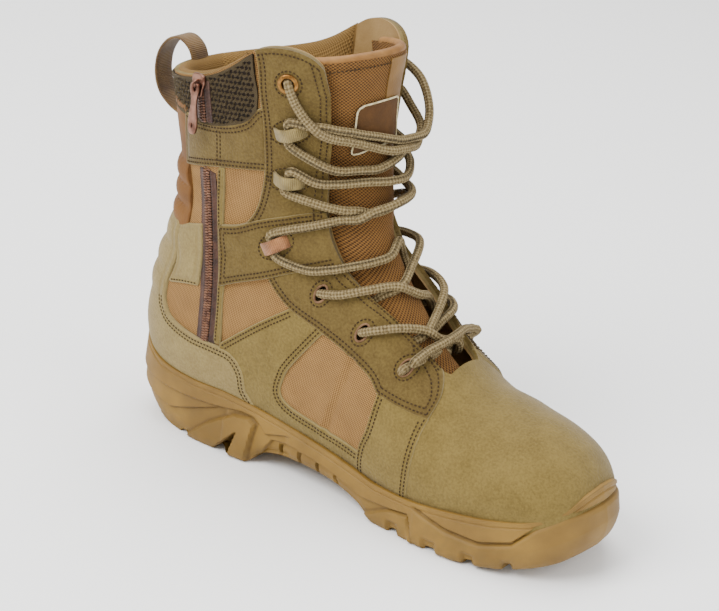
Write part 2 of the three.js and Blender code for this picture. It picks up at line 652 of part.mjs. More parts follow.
addPiece('sole', makeSole(), 'rubber');
addPiece('upper', makeUpper(), 'suede');
addPiece('insole', makeInsole(), 'lining');
addPiece('tongue', makeTongue(), 'tongueCloth');

for (const [sideName, side] of [['outer', 1], ['inner', -1]]) {
  lacingPlaces.forEach(({ kind, at, angle }, row) => {
    if (kind === 'ring') addPiece(`eyelet_${sideName}`, makeEyelet(at, angle * side), 'bronze');
    if (kind !== 'loop') return;
    addPiece(`lace_loop_${sideName}_${row}`, makeLaceLoop(at, angle * side), 'webbing');
  });
}

for (let row = 0; row < lacingPlaces.length - 1; row += 1) {
  const [high, low] = [lacingPlaces[row], lacingPlaces[row + 1]];
  const strands = [1, -1].map((sign) => laceStrand(high, low, sign, CROSSING_REACH));
  addPiece(`lace_crossing_${row + 1}`, strands[0].add(strands[1]), 'lace');
}
const lowest = lacingPlaces[lacingPlaces.length - 1];
addPiece('lace_bar', laceStrand(lowest, lowest, 1, BAR_REACH), 'lace');

addPiece('zip_chain', makeZipChain(), 'zipTape');
addPiece('zip_slider', makeSlider(), 'bronze');
addPiece('zip_pull_tab', makePullTab(), 'bronze');
addPiece('pull_loop', makePullLoop(), 'webbing');

export default boot;
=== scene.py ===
"""A side-zip combat boot for the left foot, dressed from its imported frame.

Sizes are millimetres in the last's own frame, whose origin lies SHIFT behind the row's origin:
toe towards +X, +Y is the outer side of the foot, +Z up, treads on z = 0.
"""
import logging
import math
from collections.abc import Sequence
from dataclasses import dataclass, field
from enum import Enum

import bpy
import numpy as np
from mathutils import Matrix, Vector


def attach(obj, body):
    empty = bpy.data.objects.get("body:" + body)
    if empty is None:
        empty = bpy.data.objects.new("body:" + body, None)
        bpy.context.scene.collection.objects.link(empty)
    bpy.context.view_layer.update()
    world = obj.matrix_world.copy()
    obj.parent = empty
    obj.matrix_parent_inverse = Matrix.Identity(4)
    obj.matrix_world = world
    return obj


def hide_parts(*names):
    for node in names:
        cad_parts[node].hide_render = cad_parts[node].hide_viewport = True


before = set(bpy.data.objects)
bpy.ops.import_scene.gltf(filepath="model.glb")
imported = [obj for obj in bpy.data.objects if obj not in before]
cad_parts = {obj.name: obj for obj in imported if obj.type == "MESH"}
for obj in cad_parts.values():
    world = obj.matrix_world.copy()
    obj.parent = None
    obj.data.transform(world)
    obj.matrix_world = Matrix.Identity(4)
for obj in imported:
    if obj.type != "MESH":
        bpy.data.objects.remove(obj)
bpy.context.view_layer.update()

LOG = logging.getLogger("combat_boot")
MM = 0.001
SHIFT = 5.8          # the row's origin lies under the middle of the boot with its pull loop
WALL = 2.6           # leather, lining and foam of the upper
LACE_RADIUS = 2.4
BODY = "boot"
TAB_BODY = "zip_pull"
NO_EDGE = 30.0       # a chart's distance from its edge where the finish is to show none

Array = np.ndarray
Point = tuple[float, float]
Tree = bpy.types.NodeTree
Socket = bpy.types.NodeSocket

# The form of the last, in sections that fan from the toe round the instep to the collar: front
# (x, z), back (x, z), middle, outer and inner half widths, share, front power and back power.
SECTIONS = np.array([
    [146.5, 38, 146.5, 30, -4, 2.5, 2.5, 0.5, 2, 2.2],
    [144.6, 47.5, 144.6, 22, -4, 16, 16, 0.52, 1.95, 2.6],
    [138.8, 56.5, 138.8, 17.5, -3, 27, 27, 0.55, 1.9, 3.2],
    [128.5, 64, 128.5, 15, -2, 35.8, 35.5, 0.58, 1.85, 3.4],
    [112, 70, 112, 13, -1, 42.5, 41.5, 0.6, 1.85, 3.6],
    [92, 72, 92, 11.5, 1, 47, 45.5, 0.62, 1.85, 3.6],
    [68, 77, 68, 11, 1, 48.5, 46.5, 0.65, 1.9, 3.6],
    [44, 94, 42, 12, 0, 46, 43.5, 0.68, 1.9, 3.6],
    [23, 117.5, 10, 15, 0, 41.8, 40.2, 0.69, 1.9, 3.6],
    [8.5, 137, -30, 18, 0, 39.5, 38.3, 0.66, 1.9, 3.6],
    [2.5, 153, -80, 20, 0, 38.8, 38.5, 0.62, 1.9, 3.6],
    [-1.5, 168, -124, 20.5, 0, 39.5, 39.5, 0.58, 1.9, 3.3],
    [-3, 179.5, -145.5, 48, 0, 40, 40, 0.57, 1.9, 2.6],
    [-5, 189, -142.5, 87, 0, 40, 40, 0.56, 1.9, 2.3],
    [-6.5, 198, -134, 120, 0, 41, 41, 0.54, 2, 2.1],
    [-7.5, 210, -132, 150, 0, 44, 44, 0.53, 2, 2.1],
    [-7, 224, -136.5, 180, 0, 47.5, 47.5, 0.52, 2, 2.1],
    [-5, 240, -143, 212, 0, 50.5, 50.5, 0.52, 2, 2.1],
    [-4, 258, -147, 240, 0, 52, 52, 0.52, 2, 2.1],
])
# The sole heel to toe: x, outer and inner edge, rand height, tread height, tuck, knee and lean.
SOLE = np.array([
    [-150, 0, 0, 76, 3, 20, 24, 4],
    [-148.3, 12, -12, 71, 2.5, 19, 23, 3.6],
    [-143.5, 22, -22, 58, 2, 17, 21, 2.4],
    [-135, 30.5, -30.5, 45.5, 1, 14, 18, 1.2],
    [-119, 37.5, -37.5, 39.5, 0, 9, 14, 0.8],
    [-95, 40.5, -40, 37, 0, 4, 8, 0.8],
    [-72, 41, -40, 37, 0, 3, 6, 0.8],
    [-55, 41, -39.5, 35.5, 0, 3, 6, 0.8],
    [-46, 41, -39.5, 34.5, 8, 4, 6, 0.8],
    [-30, 41, -39.5, 32.5, 11.5, 5, 6, 0.8],
    [0, 43.5, -41.5, 28.5, 11, 5, 6, 0.8],
    [22, 46.5, -44, 25, 6.5, 4, 6, 0.8],
    [36, 49, -46, 23, 0, 3, 6, 0.8],
    [60, 52, -48.5, 23.5, 0, 3, 6, 0.8],
    [84, 51.5, -49, 26.5, 0, 3, 6, 0.8],
    [108, 47.5, -46.5, 30, 2, 4, 8, 0.8],
    [127, 39, -40.5, 34, 5.5, 6, 12, 1],
    [141, 26.5, -31, 40.5, 9, 8, 16, 2],
    [148.5, 12.5, -19, 47.5, 12, 9, 18, 3.6],
    [151, -3, -3, 50, 13, 9, 18, 4.4],
])
RIM = np.array([(-160, 202), (-140, 203), (-119, 207.5), (-98, 213.5), (-85, 219), (-74, 226),
                (-62, 235.5), (-52, 239.5), (-41, 240), (-32, 237), (-26, 230), (-21, 216)])
# Half the width of the throat along the form.
THROAT = np.array([(6.55, 13.0), (6.70, 15.5), (7.10, 17.0), (7.90, 20.5), (8.70, 23.5),
                   (9.60, 25.5), (10.70, 26.0), (11.80, 26.0), (12.60, 25.5), (14.50, 28.0),
                   (16.00, 32.0), (17.00, 37.0), (17.90, 40.0)])


class Side(Enum):
    """The two sides of the foot, as the sign of y."""

    OUTER = 1
    INNER = -1


BOTH = (Side.OUTER, Side.INNER)


class Lacing(Enum):
    """What holds the lace at a lacing point."""

    RING = "ring"
    LOOP = "loop"
    HOLE = "hole"


# The lacing points in side view, from the collar down.
LACING = [(Lacing.RING, -43, 222), (Lacing.LOOP, -42, 196), (Lacing.LOOP, -43, 169),
          (Lacing.LOOP, -47, 131), (Lacing.HOLE, -18, 111), (Lacing.HOLE, 9.5, 97),
          (Lacing.HOLE, 36.5, 85)]

# The ovals of stitches round them: half the length and half the width.
SEWN_OVALS = {Lacing.RING: (7.0, 7.0), Lacing.LOOP: (11.0, 7.0), Lacing.HOLE: (7.6, 5.6)}


# ---- curves and the last's form ----------------------------------------------------------------
def blend_rows(rows: Array, place: Array) -> Array:
    """A smooth curve through the rows of a table.

    Args:
        rows: the table, a row for each station.
        place: where to read it, in rows from its start.

    Returns:
        The blended rows, with the table's columns as the last axis.
    """
    last = len(rows) - 1
    place = np.clip(np.asarray(place, float), 0, last)
    index = np.minimum(place.astype(int), last - 1)
    t = (place - index)[..., None]
    a, b = rows[np.clip(index - 1, 0, last)], rows[index]
    c, d = rows[index + 1], rows[np.clip(index + 2, 0, last)]
    return 0.5 * (2 * b + (c - a) * t + (2 * a - 5 * b + 4 * c - d) * t**2
                  + (3 * b - a - 3 * c + d) * t**3)


def travelled(line: Array) -> Array:
    """The distance along a line to each of its points."""
    return np.concatenate([[0], np.cumsum(np.linalg.norm(np.diff(line, axis=0), axis=1))])


def smooth_line(points: Sequence, step: float = 1.0) -> Array:
    """A curve through given points, sampled evenly.

    Args:
        points: the points, of two or three numbers each.
        step: the distance between samples, in mm.

    Returns:
        The samples, a row each.
    """
    rows = np.asarray(points, float)
    if len(rows) == 2:
        dense = rows[0] + (rows[1] - rows[0]) * np.linspace(0, 1, 50)[:, None]
    else:
        dense = blend_rows(rows, np.linspace(0, len(rows) - 1, 40 * len(rows)))
    travel = travelled(dense)
    count = max(2, int(round(travel[-1] / step)) + 1)
    want = np.linspace(0, travel[-1], count)
    return np.stack([np.interp(want, travel, column) for column in dense.T], 1)


def closed_line(points: list[Point], step: float) -> Array:
    """A smooth loop through given points, sampled evenly."""
    return smooth_line(points + points[:1], step)[:-1]


def chained(runs: Sequence[list[Point]]) -> list[list[Point]]:
    """An outline's runs, each with the end of the run before as its first point."""
    return [[before[-1], *run] for before, run in zip((runs[-1], *runs), runs)]


def closed_outline(runs: Sequence[list[Point]]) -> Array:
    """The closed outline of smooth runs that meet in corners."""
    return np.concatenate([smooth_line(run, 2.0)[:-1] for run in chained(runs)])


def mirrored(half: list[Point]) -> list[Point]:
    """A whole outline from its right half, top to bottom."""
    return half + [(-x, y) for x, y in reversed(half)]


def signed_power(value: Array, power: Array) -> Array:
    """A power that keeps its base's sign."""
    return np.sign(value) * np.abs(value) ** power


def unit(vectors: Array) -> Array:
    """The same vectors with length one."""
    return vectors / np.maximum(np.linalg.norm(vectors, axis=-1, keepdims=True), 1e-9)


def surface(at: Array, angle: Array) -> Array:
    """Points on the last's form.

    Args:
        at: the section, 0 at the toe and 18 at the collar.
        angle: degrees round it, 0 in front, 90 on the outer side and 180 behind or underneath.

    Returns:
        The points, in mm.
    """
    at, angle = np.broadcast_arrays(np.asarray(at, float), np.asarray(angle, float))
    row = np.moveaxis(blend_rows(SECTIONS, at), -1, 0)
    front_x, front_z, back_x, back_z, middle, outer, inner, share, front_power, back_power = row
    cosine, sine = np.cos(np.radians(angle)), np.sin(np.radians(angle))
    power = 2 / np.where(cosine >= 0, front_power, back_power)
    reach = np.where(cosine >= 0, share, 1 - share) * signed_power(cosine, power) - share
    across = np.where(sine >= 0, outer, inner) * signed_power(sine, power)
    return np.stack([front_x + (front_x - back_x) * reach, middle + across,
                     front_z + (front_z - back_z) * reach], -1)


def outward(at: Array, angle: Array) -> tuple[Array, Array]:
    """The form's outward direction and the direction up along it, at points on it."""
    along = unit(surface(np.add(at, 0.03), angle) - surface(np.subtract(at, 0.03), angle))
    around = surface(at, np.add(angle, 2)) - surface(at, np.subtract(angle, 2))
    return unit(np.cross(around, along)), along


def side_place(x: Array, z: Array, side: Side) -> tuple[Array, Array]:
    """The place (at, angle) on the form of points in side view."""
    x, z = np.asarray(x, float), np.asarray(z, float)
    low, high = np.zeros_like(x), np.full_like(x, len(SECTIONS) - 1)
    for _ in range(36):
        middle = (low + high) / 2
        front_x, front_z, back_x, back_z = np.moveaxis(blend_rows(SECTIONS[:, :4], middle), -1, 0)
        beyond = (x - front_x) * (back_z - front_z) - (z - front_z) * (back_x - front_x) > 0
        low, high = np.where(beyond, middle, low), np.where(beyond, high, middle)
    row = np.moveaxis(blend_rows(SECTIONS, low), -1, 0)
    front_x, front_z, back_x, back_z, _, _, _, share, front_power, back_power = row
    length = np.hypot(front_x - back_x, front_z - back_z)
    depth = np.hypot(x - front_x, z - front_z) / length
    along = np.where(depth < share, (share - depth) / share, (share - depth) / (1 - share))
    power = np.where(depth < share, front_power, back_power)
    cosine = signed_power(np.clip(along, -1, 1), power / 2)
    sine = np.sqrt(np.maximum(0, 1 - cosine**2))
    return low, np.degrees(np.arctan2(sine, cosine)) * side.value


def raised(at: Array, angle: Array, lift: Array | float) -> Array:
    """Points a lift above the form."""
    out, _ = outward(at, angle)
    return surface(at, angle) + out * np.asarray(lift)[..., None]


def throat_half(at: Array) -> Array:
    """Half the width of the throat at sections of the form."""
    return np.interp(at, THROAT[:, 0], THROAT[:, 1])


def throat_place(at: Array, y: Array, side: Side) -> tuple[Array, Array]:
    """The place on the form of points a distance y from its middle, in front."""
    row = blend_rows(SECTIONS, at)
    share = np.clip(np.asarray(y) / row[..., 5], 0, 1)
    angle = np.degrees(np.arcsin(share ** (row[..., 8] / 2)))
    return np.asarray(at, float), angle * side.value


def outline_distance(points: Array, outline: Array) -> Array:
    """How far points are from a closed outline in the plane, negative inside it."""
    px, pz = points[:, 0], points[:, 1]
    nearest = np.full(len(points), 1e9)
    inside = np.zeros(len(points), bool)
    for (ax, az), (bx, bz) in zip(outline, np.roll(outline, -1, 0)):
        dx, dz = bx - ax, bz - az
        t = np.clip(((px - ax) * dx + (pz - az) * dz) / max(dx * dx + dz * dz, 1e-9), 0, 1)
        nearest = np.minimum(nearest, np.hypot(px - ax - t * dx, pz - az - t * dz))
        if dz:
            crosses = ((az > pz) != (bz > pz)) & (px < dx * (pz - az) / dz + ax)
            inside ^= crosses
    return np.where(inside, -nearest, nearest)


def line_distance(points: Array, line: Sequence) -> Array:
    """How far points are from an open line in the plane."""
    nearest = np.full(len(points), 1e9)
    rows = np.asarray(line, float)
    for a, b in zip(rows[:-1], rows[1:]):
        d = b - a
        t = np.clip(((points - a) @ d) / max(d @ d, 1e-9), 0, 1)
        nearest = np.minimum(nearest, np.linalg.norm(points - a - t[:, None] * d, axis=1))
    return nearest


def ramp(value: Array, low: float, high: float) -> Array:
    """A smooth step from 0 at low to 1 at high."""
    t = np.clip((np.asarray(value, float) - low) / (high - low), 0, 1)
    return t * t * (3 - 2 * t)


def fall(value: Array, low: float, high: float) -> Array:
    """A smooth step from 1 at low to 0 at high."""
    return 1 - ramp(value, low, high)


def near(value: Array, low: float, high: float) -> Array:
    """A smooth band about zero: 1 within low of it and 0 past high."""
    return fall(np.abs(value), low, high)


def true_runs(clear: Array) -> list[Array]:
    """The index runs along which a row of truths stays true."""
    runs = np.split(np.arange(len(clear)), np.nonzero(np.diff(clear.astype(int)))[0] + 1)
    return [run for run in runs if clear[run[0]]]


# ---- meshes ------------------------------------------------------------------------------------
@dataclass
class Patch:
    """A piece of the form's surface: values at each vertex, and triangles.

    Args:
        data: named values, each with a row for every vertex: co, out, at and what is added.
        faces: the triangles.
    """

    data: dict[str, Array]
    faces: Array

    def keep(self, faces: Array) -> "Patch":
        """The same patch with only some triangles, and only the vertices that they use."""
        used, index = np.unique(faces, return_inverse=True)
        data = {name: values[used] for name, values in self.data.items()}
        return Patch(data, index.reshape(-1, 3))

    def split(self, name: str, level: float, drop: bool) -> "Patch":
        """Cuts the triangles where a value crosses a level.

        Args:
            name: the value.
            level: where to cut.
            drop: True to leave out what lies above the level.

        Returns:
            The cut patch.
        """
        height = self.data[name] - level
        height = np.where(np.abs(height) < 1e-5, -1e-5, height)
        below = height < 0
        count = below[self.faces].sum(1)
        kept = [self.faces[count == 3]] + ([] if drop else [self.faces[count == 0]])
        cut = self.faces[(count == 1) | (count == 2)]
        if not len(cut):
            return self.keep(np.concatenate(kept))
        low = below[cut]
        single = low.sum(1) == 1
        lone = np.where(single, low.argmax(1), (~low).argmax(1))
        a, b, c = np.take_along_axis(cut, (lone[:, None] + np.arange(3)) % 3, 1).T
        edges = np.sort(np.concatenate([np.stack([a, b], 1), np.stack([a, c], 1)]), 1)
        ends, index = np.unique(edges, axis=0, return_inverse=True)
        start, stop = height[ends[:, 0]], height[ends[:, 1]]
        t = np.clip(start / (start - stop), 0.03, 0.97)
        data = {}
        for key, values in self.data.items():
            share = t if values.ndim == 1 else t[:, None]
            data[key] = np.concatenate([values, values[ends[:, 0]] * (1 - share)
                                        + values[ends[:, 1]] * share])
        data[name][len(height):] = level
        index = index.ravel() + len(height)
        p, q = index[:len(a)], index[len(a):]
        tip = np.stack([a, p, q], 1)
        rest = np.stack([np.stack([p, b, c], 1), np.stack([p, c, q], 1)], 1)
        if drop:
            kept += [tip[single], rest[~single].reshape(-1, 3)]
        else:
            kept += [tip, rest.reshape(-1, 3)]
        return Patch(data, self.faces).keep(np.concatenate(kept))


@dataclass
class Body:
    """A mesh in the making: points in mm, faces, a chart for patterns, and material indices."""

    points: list = field(default_factory=list)
    chart: list = field(default_factory=list)
    faces: list = field(default_factory=list)
    slots: list = field(default_factory=list)
    count: int = 0

    def add(self, points: Array, faces: Array, chart: Array | None = None,
            slot: int = 0) -> None:
        """Joins more mesh to the body.

        Args:
            points: its points, in mm.
            faces: its triangles or quads, numbered from its own first point.
            chart: a pattern place for each point, or None to use the point.
            slot: the index of its material.
        """
        points = np.asarray(points, float).reshape(-1, 3)
        self.points.append(points)
        self.chart.append(points if chart is None else np.asarray(chart, float).reshape(-1, 3))
        self.faces.extend((np.asarray(faces) + self.count).tolist())
        self.slots.extend([slot] * len(faces))
        self.count += len(points)

    def build(self, name: str, *finishes: "Finish", sharp: float = 40,
              body: str = BODY) -> bpy.types.Object:
        """Makes the Blender object and rides it on its body.

        Args:
            name: the piece's name.
            finishes: what it is made of, in the order of its faces' material numbers.
            sharp: the angle, in degrees, past which an edge stays sharp.
            body: the CAD body that it moves with.

        Returns:
            The object.
        """
        points = (np.concatenate(self.points) + [SHIFT, 0, 0]) * MM
        mesh = bpy.data.meshes.new(name)
        mesh.from_pydata(points.tolist(), [], self.faces)
        for finish in finishes:
            mesh.materials.append(finish.material())
        mesh.polygons.foreach_set("material_index", np.array(self.slots, np.int32))
        chart = mesh.attributes.new("chart", "FLOAT_VECTOR", "POINT")
        chart.data.foreach_set("vector", np.concatenate(self.chart).astype(np.float32).ravel())
        mesh.validate()
        mesh.shade_smooth()
        mesh.set_sharp_from_angle(angle=math.radians(sharp))
        piece = bpy.data.objects.new(name, mesh)
        bpy.context.scene.collection.objects.link(piece)
        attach(piece, body)
        LOG.info("%s: %d faces", name, len(self.faces))
        return piece


def edgeless_chart(across: Array, along: Array) -> Array:
    """A chart for a piece whose edge isn't to show."""
    return np.stack([*np.broadcast_arrays(across, along, NO_EDGE)], -1)


def thicken(body: Body, patch: Patch, top: Array, under: Array, slot: int = 0,
            under_slot: int | None = None) -> None:
    """Adds a patch to a body as a closed sheet.

    Args:
        body: the body it joins.
        patch: the patch, whose chart is its value of that name.
        top: each vertex's lift of the outer face, in mm.
        under: each vertex's lift of the inner face.
        slot: the material of the outer face and the edge.
        under_slot: the material of the inner face, or None for the same.
    """
    co, out, faces = patch.data["co"], patch.data["out"], patch.faces
    count = len(co)
    points = np.concatenate([co + out * top[:, None], co + out * under[:, None]])
    chart = np.concatenate([patch.data["chart"]] * 2)
    edges = np.concatenate([faces[:, [0, 1]], faces[:, [1, 2]], faces[:, [2, 0]]])
    code = edges[:, 0] * count + edges[:, 1]
    free = edges[~np.isin(code, edges[:, 1] * count + edges[:, 0])]
    i, j = free.T
    walls = np.concatenate([np.stack([j, i, i + count], 1), np.stack([j, i + count, j + count], 1)])
    body.add(points, faces, chart, slot)
    under_slot = slot if under_slot is None else under_slot
    body.faces.extend((walls + body.count - 2 * count).tolist())
    body.slots.extend([under_slot] * len(walls))
    low = faces[:, ::-1] + count
    body.faces.extend((low + body.count - 2 * count).tolist())
    body.slots.extend([under_slot] * len(low))


def triangles(quads: Array) -> Array:
    """The two triangles of each quad."""
    return np.concatenate([quads[:, [0, 1, 2]], quads[:, [0, 2, 3]]])


def grid_faces(rows: int, columns: int, wrap: bool = False) -> Array:
    """The quads of a grid of points, row by row, which may close on itself along each row."""
    across = columns if wrap else columns - 1
    r, c = np.meshgrid(np.arange(rows - 1), np.arange(across), indexing="ij")
    a, b = r * columns + c, r * columns + (c + 1) % columns
    return np.stack([a, b, b + columns, a + columns], -1).reshape(-1, 4)


def add_sheet(body: Body, up: Array, low: Array, chart: Array) -> None:
    """Adds a closed sheet between two grids of points.

    Args:
        body: the body it joins.
        up: the outer face's points, row by row.
        low: the inner face's.
        chart: the pattern place of each point of the grid.
    """
    rows, columns = up.shape[:2]
    count = rows * columns
    faces = grid_faces(rows, columns)
    bottom = [(k, k + 1) for k in range(columns - 1)]
    right = [((r + 1) * columns - 1, (r + 2) * columns - 1) for r in range(rows - 1)]
    head = [((rows - 1) * columns + k + 1, (rows - 1) * columns + k) for k in range(columns - 1)]
    left = [((r + 1) * columns, r * columns) for r in range(rows - 1)]
    walls = [[j, i, i + count, j + count] for i, j in bottom + right + head + left]
    body.add(np.concatenate([up.reshape(-1, 3), low.reshape(-1, 3)]),
             np.concatenate([faces, faces[:, ::-1] + count, np.array(walls)]),
             np.concatenate([chart.reshape(-1, 3)] * 2))


def repeat_shape(body: Body, shape: Array, faces: Array, place: Array,
                 axes: Sequence[Array]) -> None:
    """Adds a small shape many times.

    Args:
        body: the body it joins.
        shape: the shape's points.
        faces: its triangles.
        place: where each copy lies.
        axes: the three directions of each copy.
    """
    spread = place[:, None] + sum(axis[:, None] * shape[None, :, k:k + 1]
                                  for k, axis in enumerate(axes))
    many = faces[None] + (np.arange(len(place)) * len(shape))[:, None, None]
    body.add(spread.reshape(-1, 3), many.reshape(-1, 3))


def sweep(body: Body, line: Array, profile: Array, up: Array | None = None,
          slot: int = 0, taper: bool = False) -> None:
    """Adds a closed rod: a profile carried along a line.

    Args:
        body: the body it joins.
        line: the middle line's points, in mm.
        profile: the cross section (side, up), as a closed ring wound anticlockwise.
        up: the direction of the profile's up at each point, or None to carry a frame along.
        slot: its material.
        taper: True to round off both ends.
    """
    line = np.asarray(line, float)
    tangent = unit(np.gradient(line, axis=0))
    if up is None:
        ups = [np.cross(tangent[0], [0.31, 0.86, 0.40])]
        for direction in tangent[1:]:
            ups.append(ups[-1] - direction * (ups[-1] @ direction))
        up = unit(np.array(ups))
    side = unit(np.cross(tangent, up))
    up = np.cross(side, tangent)
    travel = travelled(line)
    size = np.ones(len(line))
    if taper:
        reach = np.abs(profile).max()
        ends = np.minimum(travel, travel[-1] - travel) / reach
        size = np.sqrt(np.clip(1 - (1 - np.minimum(ends, 1)) ** 2, 0.05, 1))
    rings = line[:, None] + (side[:, None] * profile[None, :, :1]
                             + up[:, None] * profile[None, :, 1:]) * size[:, None, None]
    chart = np.stack(np.broadcast_arrays(travelled(profile)[None], travel[:, None], 0.0), -1)
    n, count = len(profile), len(line)
    faces = grid_faces(count, n, wrap=True)
    points = np.concatenate([rings.reshape(-1, 3), line[:1], line[-1:]])
    chart = np.concatenate([chart.reshape(-1, 3), chart[0, :1], chart[-1, :1]])
    body.add(points, faces, chart, slot)
    start = body.count - len(points)
    for k in range(n):
        j = (k + 1) % n
        first, last = start + n * count, start + n * (count - 1)
        body.faces += [[start + j, start + k, first], [last + k, last + j, first + 1]]
        body.slots += [slot, slot]


def ring_profile(radius: float, sides: int, flat: float = 1.0) -> Array:
    """A round or oval cross section."""
    turn = np.arange(sides) / sides * 2 * math.pi
    return np.stack([np.cos(turn) * radius, np.sin(turn) * radius * flat], 1)


def strap_profile(width: float, thickness: float) -> Array:
    """The cross section of webbing, with rounded edges."""
    w, t = width / 2, thickness / 2
    return np.array([(-w, 0), (-w + t * 0.4, -t * 0.8), (-w + t, -t), (-w / 3, -t), (w / 3, -t),
                     (w - t, -t), (w - t * 0.4, -t * 0.8), (w, 0), (w - t * 0.4, t * 0.8),
                     (w - t, t), (w / 3, t), (-w / 3, t), (-w + t, t), (-w + t * 0.4, t * 0.8)])


# ---- finishes ----------------------------------------------------------------------------------
def linear(colour: str) -> tuple[float, float, float, float]:
    """An sRGB hex colour as linear RGBA."""
    parts = [int(colour[i:i + 2], 16) / 255 for i in (1, 3, 5)]
    low = [c / 12.92 if c <= 0.04045 else ((c + 0.055) / 1.055) ** 2.4 for c in parts]
    return (*low, 1.0)


def add_node(tree: Tree, kind: str, sockets: dict | None = None,
             **settings: object) -> bpy.types.Node:
    """Adds a node with its settings and links.

    Args:
        tree: the node tree.
        kind: the node's type.
        sockets: input names or numbers, and the value or the socket that each takes.
        settings: the node's own properties.

    Returns:
        The node.
    """
    node = tree.nodes.new(kind)
    for key, value in settings.items():
        setattr(node, key, value)
    for key, value in (sockets or {}).items():
        if isinstance(value, Socket):
            tree.links.new(value, node.inputs[key])
        else:
            node.inputs[key].default_value = value
    return node


@dataclass(frozen=True)
class Nodes:
    """A material's node tree, with the steps that the finishes are made of."""

    tree: Tree

    def place(self) -> Socket:
        """The point on the object, in metres."""
        return add_node(self.tree, "ShaderNodeTexCoord").outputs["Object"]

    def noise(self, size: float, detail: float = 3.0) -> Socket:
        """Solid noise with blotches of a size in mm."""
        return add_node(self.tree, "ShaderNodeTexNoise", {"Vector": self.place(), "Scale": 1000 / size,
                                                          "Detail": detail}).outputs["Fac"]

    def math(self, operation: str, *values: object) -> Socket:
        """The result of a sum on sockets or numbers."""
        return add_node(self.tree, "ShaderNodeMath", dict(enumerate(values)),
                        operation=operation).outputs[0]

    def spread(self, value: object, low: float, high: float, to_low: float = 0.0,
               to_high: float = 1.0) -> Socket:
        """A value carried from one range to another and held there."""
        ends = dict(enumerate((value, low, high, to_low, to_high)))
        return add_node(self.tree, "ShaderNodeMapRange", ends).outputs[0]

    def blend(self, share: object, first: object, second: object) -> Socket:
        """Two colours blended by a share."""
        return add_node(self.tree, "ShaderNodeMix", {0: share, 6: first, 7: second},
                        data_type="RGBA").outputs[2]

    def chart(self) -> tuple[Socket, ...]:
        """The mesh's own pattern places, in mm: across, along, and distance from its edge."""
        chart = add_node(self.tree, "ShaderNodeAttribute", attribute_name="chart").outputs["Vector"]
        parts = add_node(self.tree, "ShaderNodeSeparateXYZ", {0: chart}).outputs
        return parts[0], parts[1], parts[2]


@dataclass(frozen=True)
class Finish:
    """What all finishes share.

    Args:
        name: the material's name.
        slot: the record's material slot; not used.
        light: its lit colour.
        dark: its shaded or dyed-in colour.
        roughness: its middle roughness.
        mottle: the size of its blotches, in mm.
    """

    name: str
    slot: str
    light: str
    dark: str
    roughness: float = 0.9
    mottle: float = 12.0

    def dyed(self, on: Nodes, share: object) -> Socket:
        """The shaded colour blended to the lit one by a share."""
        return on.blend(share, linear(self.dark), linear(self.light))

    def look(self, on: Nodes) -> tuple[object, object, float]:
        """The finish's own colour, height and depth of relief in mm."""
        share = on.spread(on.noise(self.mottle), 0.35, 0.65)
        return self.dyed(on, share), on.noise(0.8), 0.15

    def surface(self, shader: bpy.types.Node) -> None:
        """Sets the shader's even values."""
        shader.inputs["Roughness"].default_value = self.roughness
        shader.inputs["Specular IOR Level"].default_value = 0.3

    def material(self) -> bpy.types.Material:
        """The finished material, made once."""
        known = bpy.data.materials.get(self.name)
        if known:
            return known
        material = bpy.data.materials.new(self.name)
        material.use_nodes = True
        tree = material.node_tree
        shader = tree.nodes["Principled BSDF"]
        colour, height, depth = self.look(Nodes(tree))
        bump = add_node(tree, "ShaderNodeBump", {"Height": height, "Strength": 1.0,
                                                 "Distance": depth * MM})
        tree.links.new(colour, shader.inputs["Base Color"])
        tree.links.new(bump.outputs[0], shader.inputs["Normal"])
        self.surface(shader)
        return material


@dataclass(frozen=True)
class Suede(Finish):
    """Cattle-hide suede, sanded on the flesh side: a dry, matt nap with soft brushed blotches,
    pressed into a channel along its seams that is darkened with painted shade, and paler on its
    cut edges."""

    seam: float = 2.8
    edge: str = "#94845a"

    def look(self, on: Nodes) -> tuple[object, object, float]:
        """Brushed nap, a pressed seam channel darkened with painted shade, and a pale cut edge."""
        _, _, inset = on.chart()
        brushed = on.spread(on.noise(self.mottle, 3.0), 0.3, 0.7)
        nap = on.spread(on.noise(1.3, 2.0), 0.3, 0.7)
        share = on.math("MULTIPLY_ADD", nap, 0.6, on.math("MULTIPLY", brushed, 0.4))
        colour = self.dyed(on, share)
        away = on.math("ABSOLUTE", on.math("SUBTRACT", inset, self.seam))
        # Painted shade along the seam's channel.
        seam_shade = on.spread(away, 0.5, 2.2, 0.34, 0.0)
        colour = on.blend(seam_shade, colour, linear(self.dark))
        cut = on.spread(inset, 0.15, 0.6, 0.5, 0.0)
        colour = on.blend(cut, colour, linear(self.edge))
        channel = on.spread(away, 0.4, 1.8)
        height = on.math("MULTIPLY_ADD", nap, 0.45, channel)
        return colour, height, 0.35

    def surface(self, shader: bpy.types.Node) -> None:
        """A dry surface with a soft sheen from the nap."""
        super().surface(shader)
        shader.inputs["Specular IOR Level"].default_value = 0.15
        shader.inputs["Sheen Weight"].default_value = 0.12
        shader.inputs["Sheen Roughness"].default_value = 0.5


